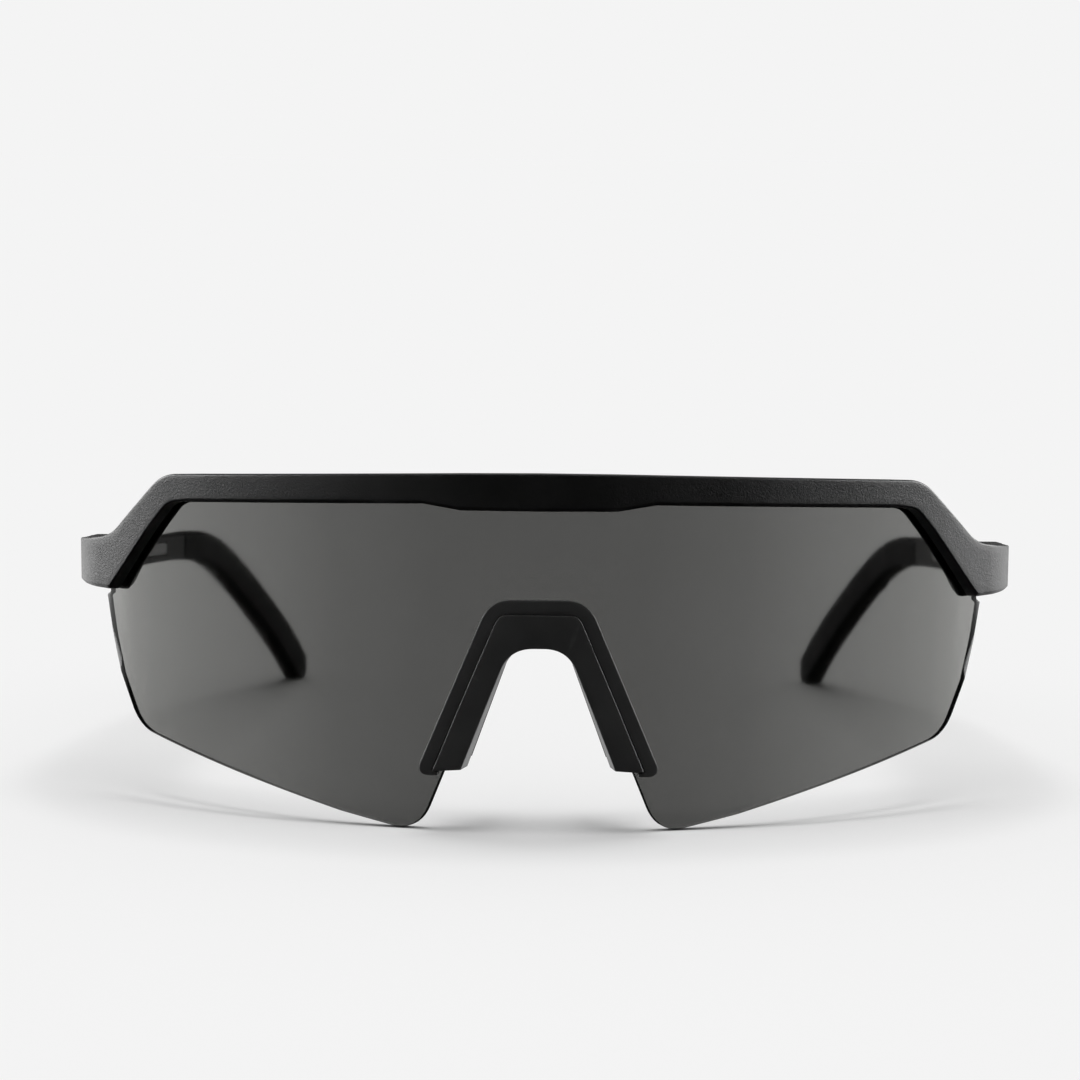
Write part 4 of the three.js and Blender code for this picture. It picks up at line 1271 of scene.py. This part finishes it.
@dataclass
class Studio:
    """A pale floor without an edge, soft overhead light, dim in front, and the camera."""

    floor_tone: float = 0.905
    floor_reach: float = 60.0
    floor_cells: int = 41
    sun_share: float = 0.5
    sun_spread: float = math.radians(45.0)
    sky_horizon: float = 0.3
    sky_top: float = 0.6
    side_light: float = 29.0
    side_by_depth: Corners = (
        (0.0, 0.0), (0.1, 0.003), (0.2, 0.05), (0.28, 0.14), (0.37, 0.34), (0.5, 0.75), (0.6, 1.0),
        (0.7, 0.6), (0.8, 0.1), (1.0, 0.0),
    )
    side_rise: Span = (-0.05, 0.2)
    side_fall: Span = (0.2, 0.5)
    rear_light: float = 2.5
    rear_by_depth: Corners = ((0.0, 0.0), (0.6, 0.0), (0.7, 1.0), (0.9, 0.9), (0.97, 0.3), (1.0, 0.27))
    rear_rise: Span = (-0.6, -0.4)
    rear_fall: Span = (-0.06, 0.06)
    least_gloss: float = 0.02
    focal_length: float = 115.0
    camera_place: Triple = (0.009, -0.57007, 0.09883)
    pitch: float = math.radians(6.384)
    yaw: float = math.radians(1.031)
    roll: float = math.radians(0.38)

    def floor(self) -> None:
        """A wide grid at height nought, stretched towards its rim as the fifth power of the way out."""
        across = np.linspace(-1, 1, self.floor_cells)
        u, v = np.meshgrid(across, across, indexing="ij")
        grid = np.stack([self.floor_reach * u**5, self.floor_reach * v**5, 0.0 * u], axis=-1)
        number = np.arange(self.floor_cells**2).reshape(self.floor_cells, self.floor_cells)
        faces = np.stack([number[:-1, :-1], number[1:, :-1], number[1:, 1:], number[:-1, 1:]], axis=-1)
        mesh = bpy.data.meshes.new("studio_floor")
        mesh.from_pydata(grid.reshape(-1, 3).tolist(), [], faces.reshape(-1, 4).tolist())
        material, nodes = new_material("floor_paper")
        shader = nodes.add("ShaderNodeBsdfDiffuse", in_Color=(self.floor_tone,) * 3 + (1.0,))
        absent = nodes.add("ShaderNodeBsdfTransparent")
        mirrored = self._mirrored(nodes, nodes.add("ShaderNodeLightPath"))
        seen = nodes.blend(mirrored, shader.outputs[0], absent.outputs[0])
        nodes.add("ShaderNodeOutputMaterial", in_Surface=seen)
        mesh.materials.append(material)
        floor = bpy.data.objects.new("studio_floor", mesh)
        floor.visible_glossy = False
        bpy.context.scene.collection.objects.link(floor)

    def sky(self) -> None:
        """The sky: plain where it is seen, soft and top-heavy for matt surfaces, and for glossy ones
        dark in front, with a bright band at each side and another behind, below the horizon.
        """
        world = bpy.data.worlds.new("studio_sky")
        world.use_nodes = True
        world.cycles.sampling_method = "NONE"
        bpy.context.scene.world = world
        nodes = NodeTree(world.node_tree)
        way = nodes.add("ShaderNodeTexCoord").outputs["Generated"]
        parts = nodes.add("ShaderNodeSeparateXYZ", in_Vector=way)
        soft = nodes.span(parts.outputs["Z"], (0.0, 1.0), (self.sky_horizon, self.sky_top))
        depth = nodes.span(parts.outputs["Y"], (-1.0, 1.0), (0.0, 1.0))
        height = parts.outputs["Z"]
        side = self._band(nodes, depth, height, (self.side_by_depth, self.side_rise, self.side_fall))
        rear = self._band(nodes, depth, height, (self.rear_by_depth, self.rear_rise, self.rear_fall))
        from_sides = nodes.math("MULTIPLY", side, self.side_light)
        lit = nodes.math("ADD", from_sides, nodes.math("MULTIPLY", rear, self.rear_light))
        glossy = nodes.math("ADD", lit, nodes.span(height, (0.0, 1.0), (0.0, self.least_gloss)))
        path = nodes.add("ShaderNodeLightPath")
        strength = self._choose(nodes, self._mirrored(nodes, path), self.floor_tone, glossy)
        strength = self._choose(nodes, path.outputs["Is Diffuse Ray"], strength, soft)
        background = nodes.add("ShaderNodeBackground", in_Strength=strength)
        nodes.feed(background.inputs["Color"], (1.0, 1.0, 1.0, 1.0))
        nodes.add("ShaderNodeOutputWorld", in_Surface=background.outputs[0])

    @staticmethod
    def _band(nodes: NodeTree, depth: object, height: object, shape: tuple) -> Socket:
        """A band of light: a ramp by depth, times a rise and a fall by height."""
        levels, rise, fall = shape
        lower, upper = nodes.span(height, rise, (0.0, 1.0)), nodes.span(height, fall, (1.0, 0.0))
        level = nodes.ramp(depth, levels, (1.0, 1.0, 1.0))
        return nodes.math("MULTIPLY", level, nodes.math("MULTIPLY", lower, upper))

    @staticmethod
    def _mirrored(nodes: NodeTree, path: bpy.types.Node) -> Socket:
        """One for rays that a surface has mirrored at least once, even if they went through glass later."""
        return nodes.math("GREATER_THAN", path.outputs["Glossy Depth"], 0.5)

    @staticmethod
    def _choose(nodes: NodeTree, factor: object, first: object, second: object) -> Socket:
        """The first value at factor nought and the second at one."""
        node = nodes.add("ShaderNodeMix", data_type="FLOAT")
        nodes.feed(node.inputs[0], factor)
        nodes.feed(node.inputs[2], first)
        nodes.feed(node.inputs[3], second)
        return node.outputs[0]

    def overhead(self) -> None:
        """A wide soft light from straight above, which lights the floor evenly."""
        light = bpy.data.lights.new("overhead_light", "SUN")
        light.energy = self.sun_share * math.pi
        light.angle = self.sun_spread
        bpy.context.scene.collection.objects.link(bpy.data.objects.new("overhead_light", light))

    def camera(self) -> None:
        """The camera: tipped down, turned a little to the left and rolled about its own axis."""
        data = bpy.data.cameras.new("camera")
        data.lens, data.sensor_width = self.focal_length, 36.0
        data.clip_start, data.clip_end = 0.01, 200.0
        camera = bpy.data.objects.new("camera", data)
        upright = Matrix.Rotation(math.pi / 2 - self.pitch, 4, "X")
        turned = Matrix.Rotation(self.yaw, 4, "Z") @ upright @ Matrix.Rotation(self.roll, 4, "Z")
        camera.matrix_world = Matrix.Translation(self.camera_place) @ turned
        bpy.context.scene.collection.objects.link(camera)
        bpy.context.scene.camera = camera

    def build(self) -> None:
        """Sets up floor, sky, light, camera and plain colour management."""
        self.floor()
        self.sky()
        self.overhead()
        self.camera()
        bpy.context.scene.view_settings.view_transform = "Standard"


def main() -> None:
    """Builds the studio and every sub-assembly in order."""
    logging.basicConfig(level=logging.INFO, format="%(name)s: %(message)s")
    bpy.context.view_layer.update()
    joint = next(j for j in frame["joints"] if j["name"] == "temple_left_fold")
    standing = Standing.on_joint(joint, Hinge.centre)
    wrap, shop = Wrap(), Workshop(standing)
    Studio().build()
    hinges = tuple(Hinge(shop, side) for side in Side)
    ShieldLens(wrap, shop).build()
    FrontFrame(wrap, shop, hinges).build()
    Nosepiece(wrap, shop).build()
    line = TempleLine()
    for hinge in hinges:
        hinge.build()
        Temple(line, shop, hinge).build()
    bpy.context.view_layer.update()


if __name__ == "__main__":
    main()
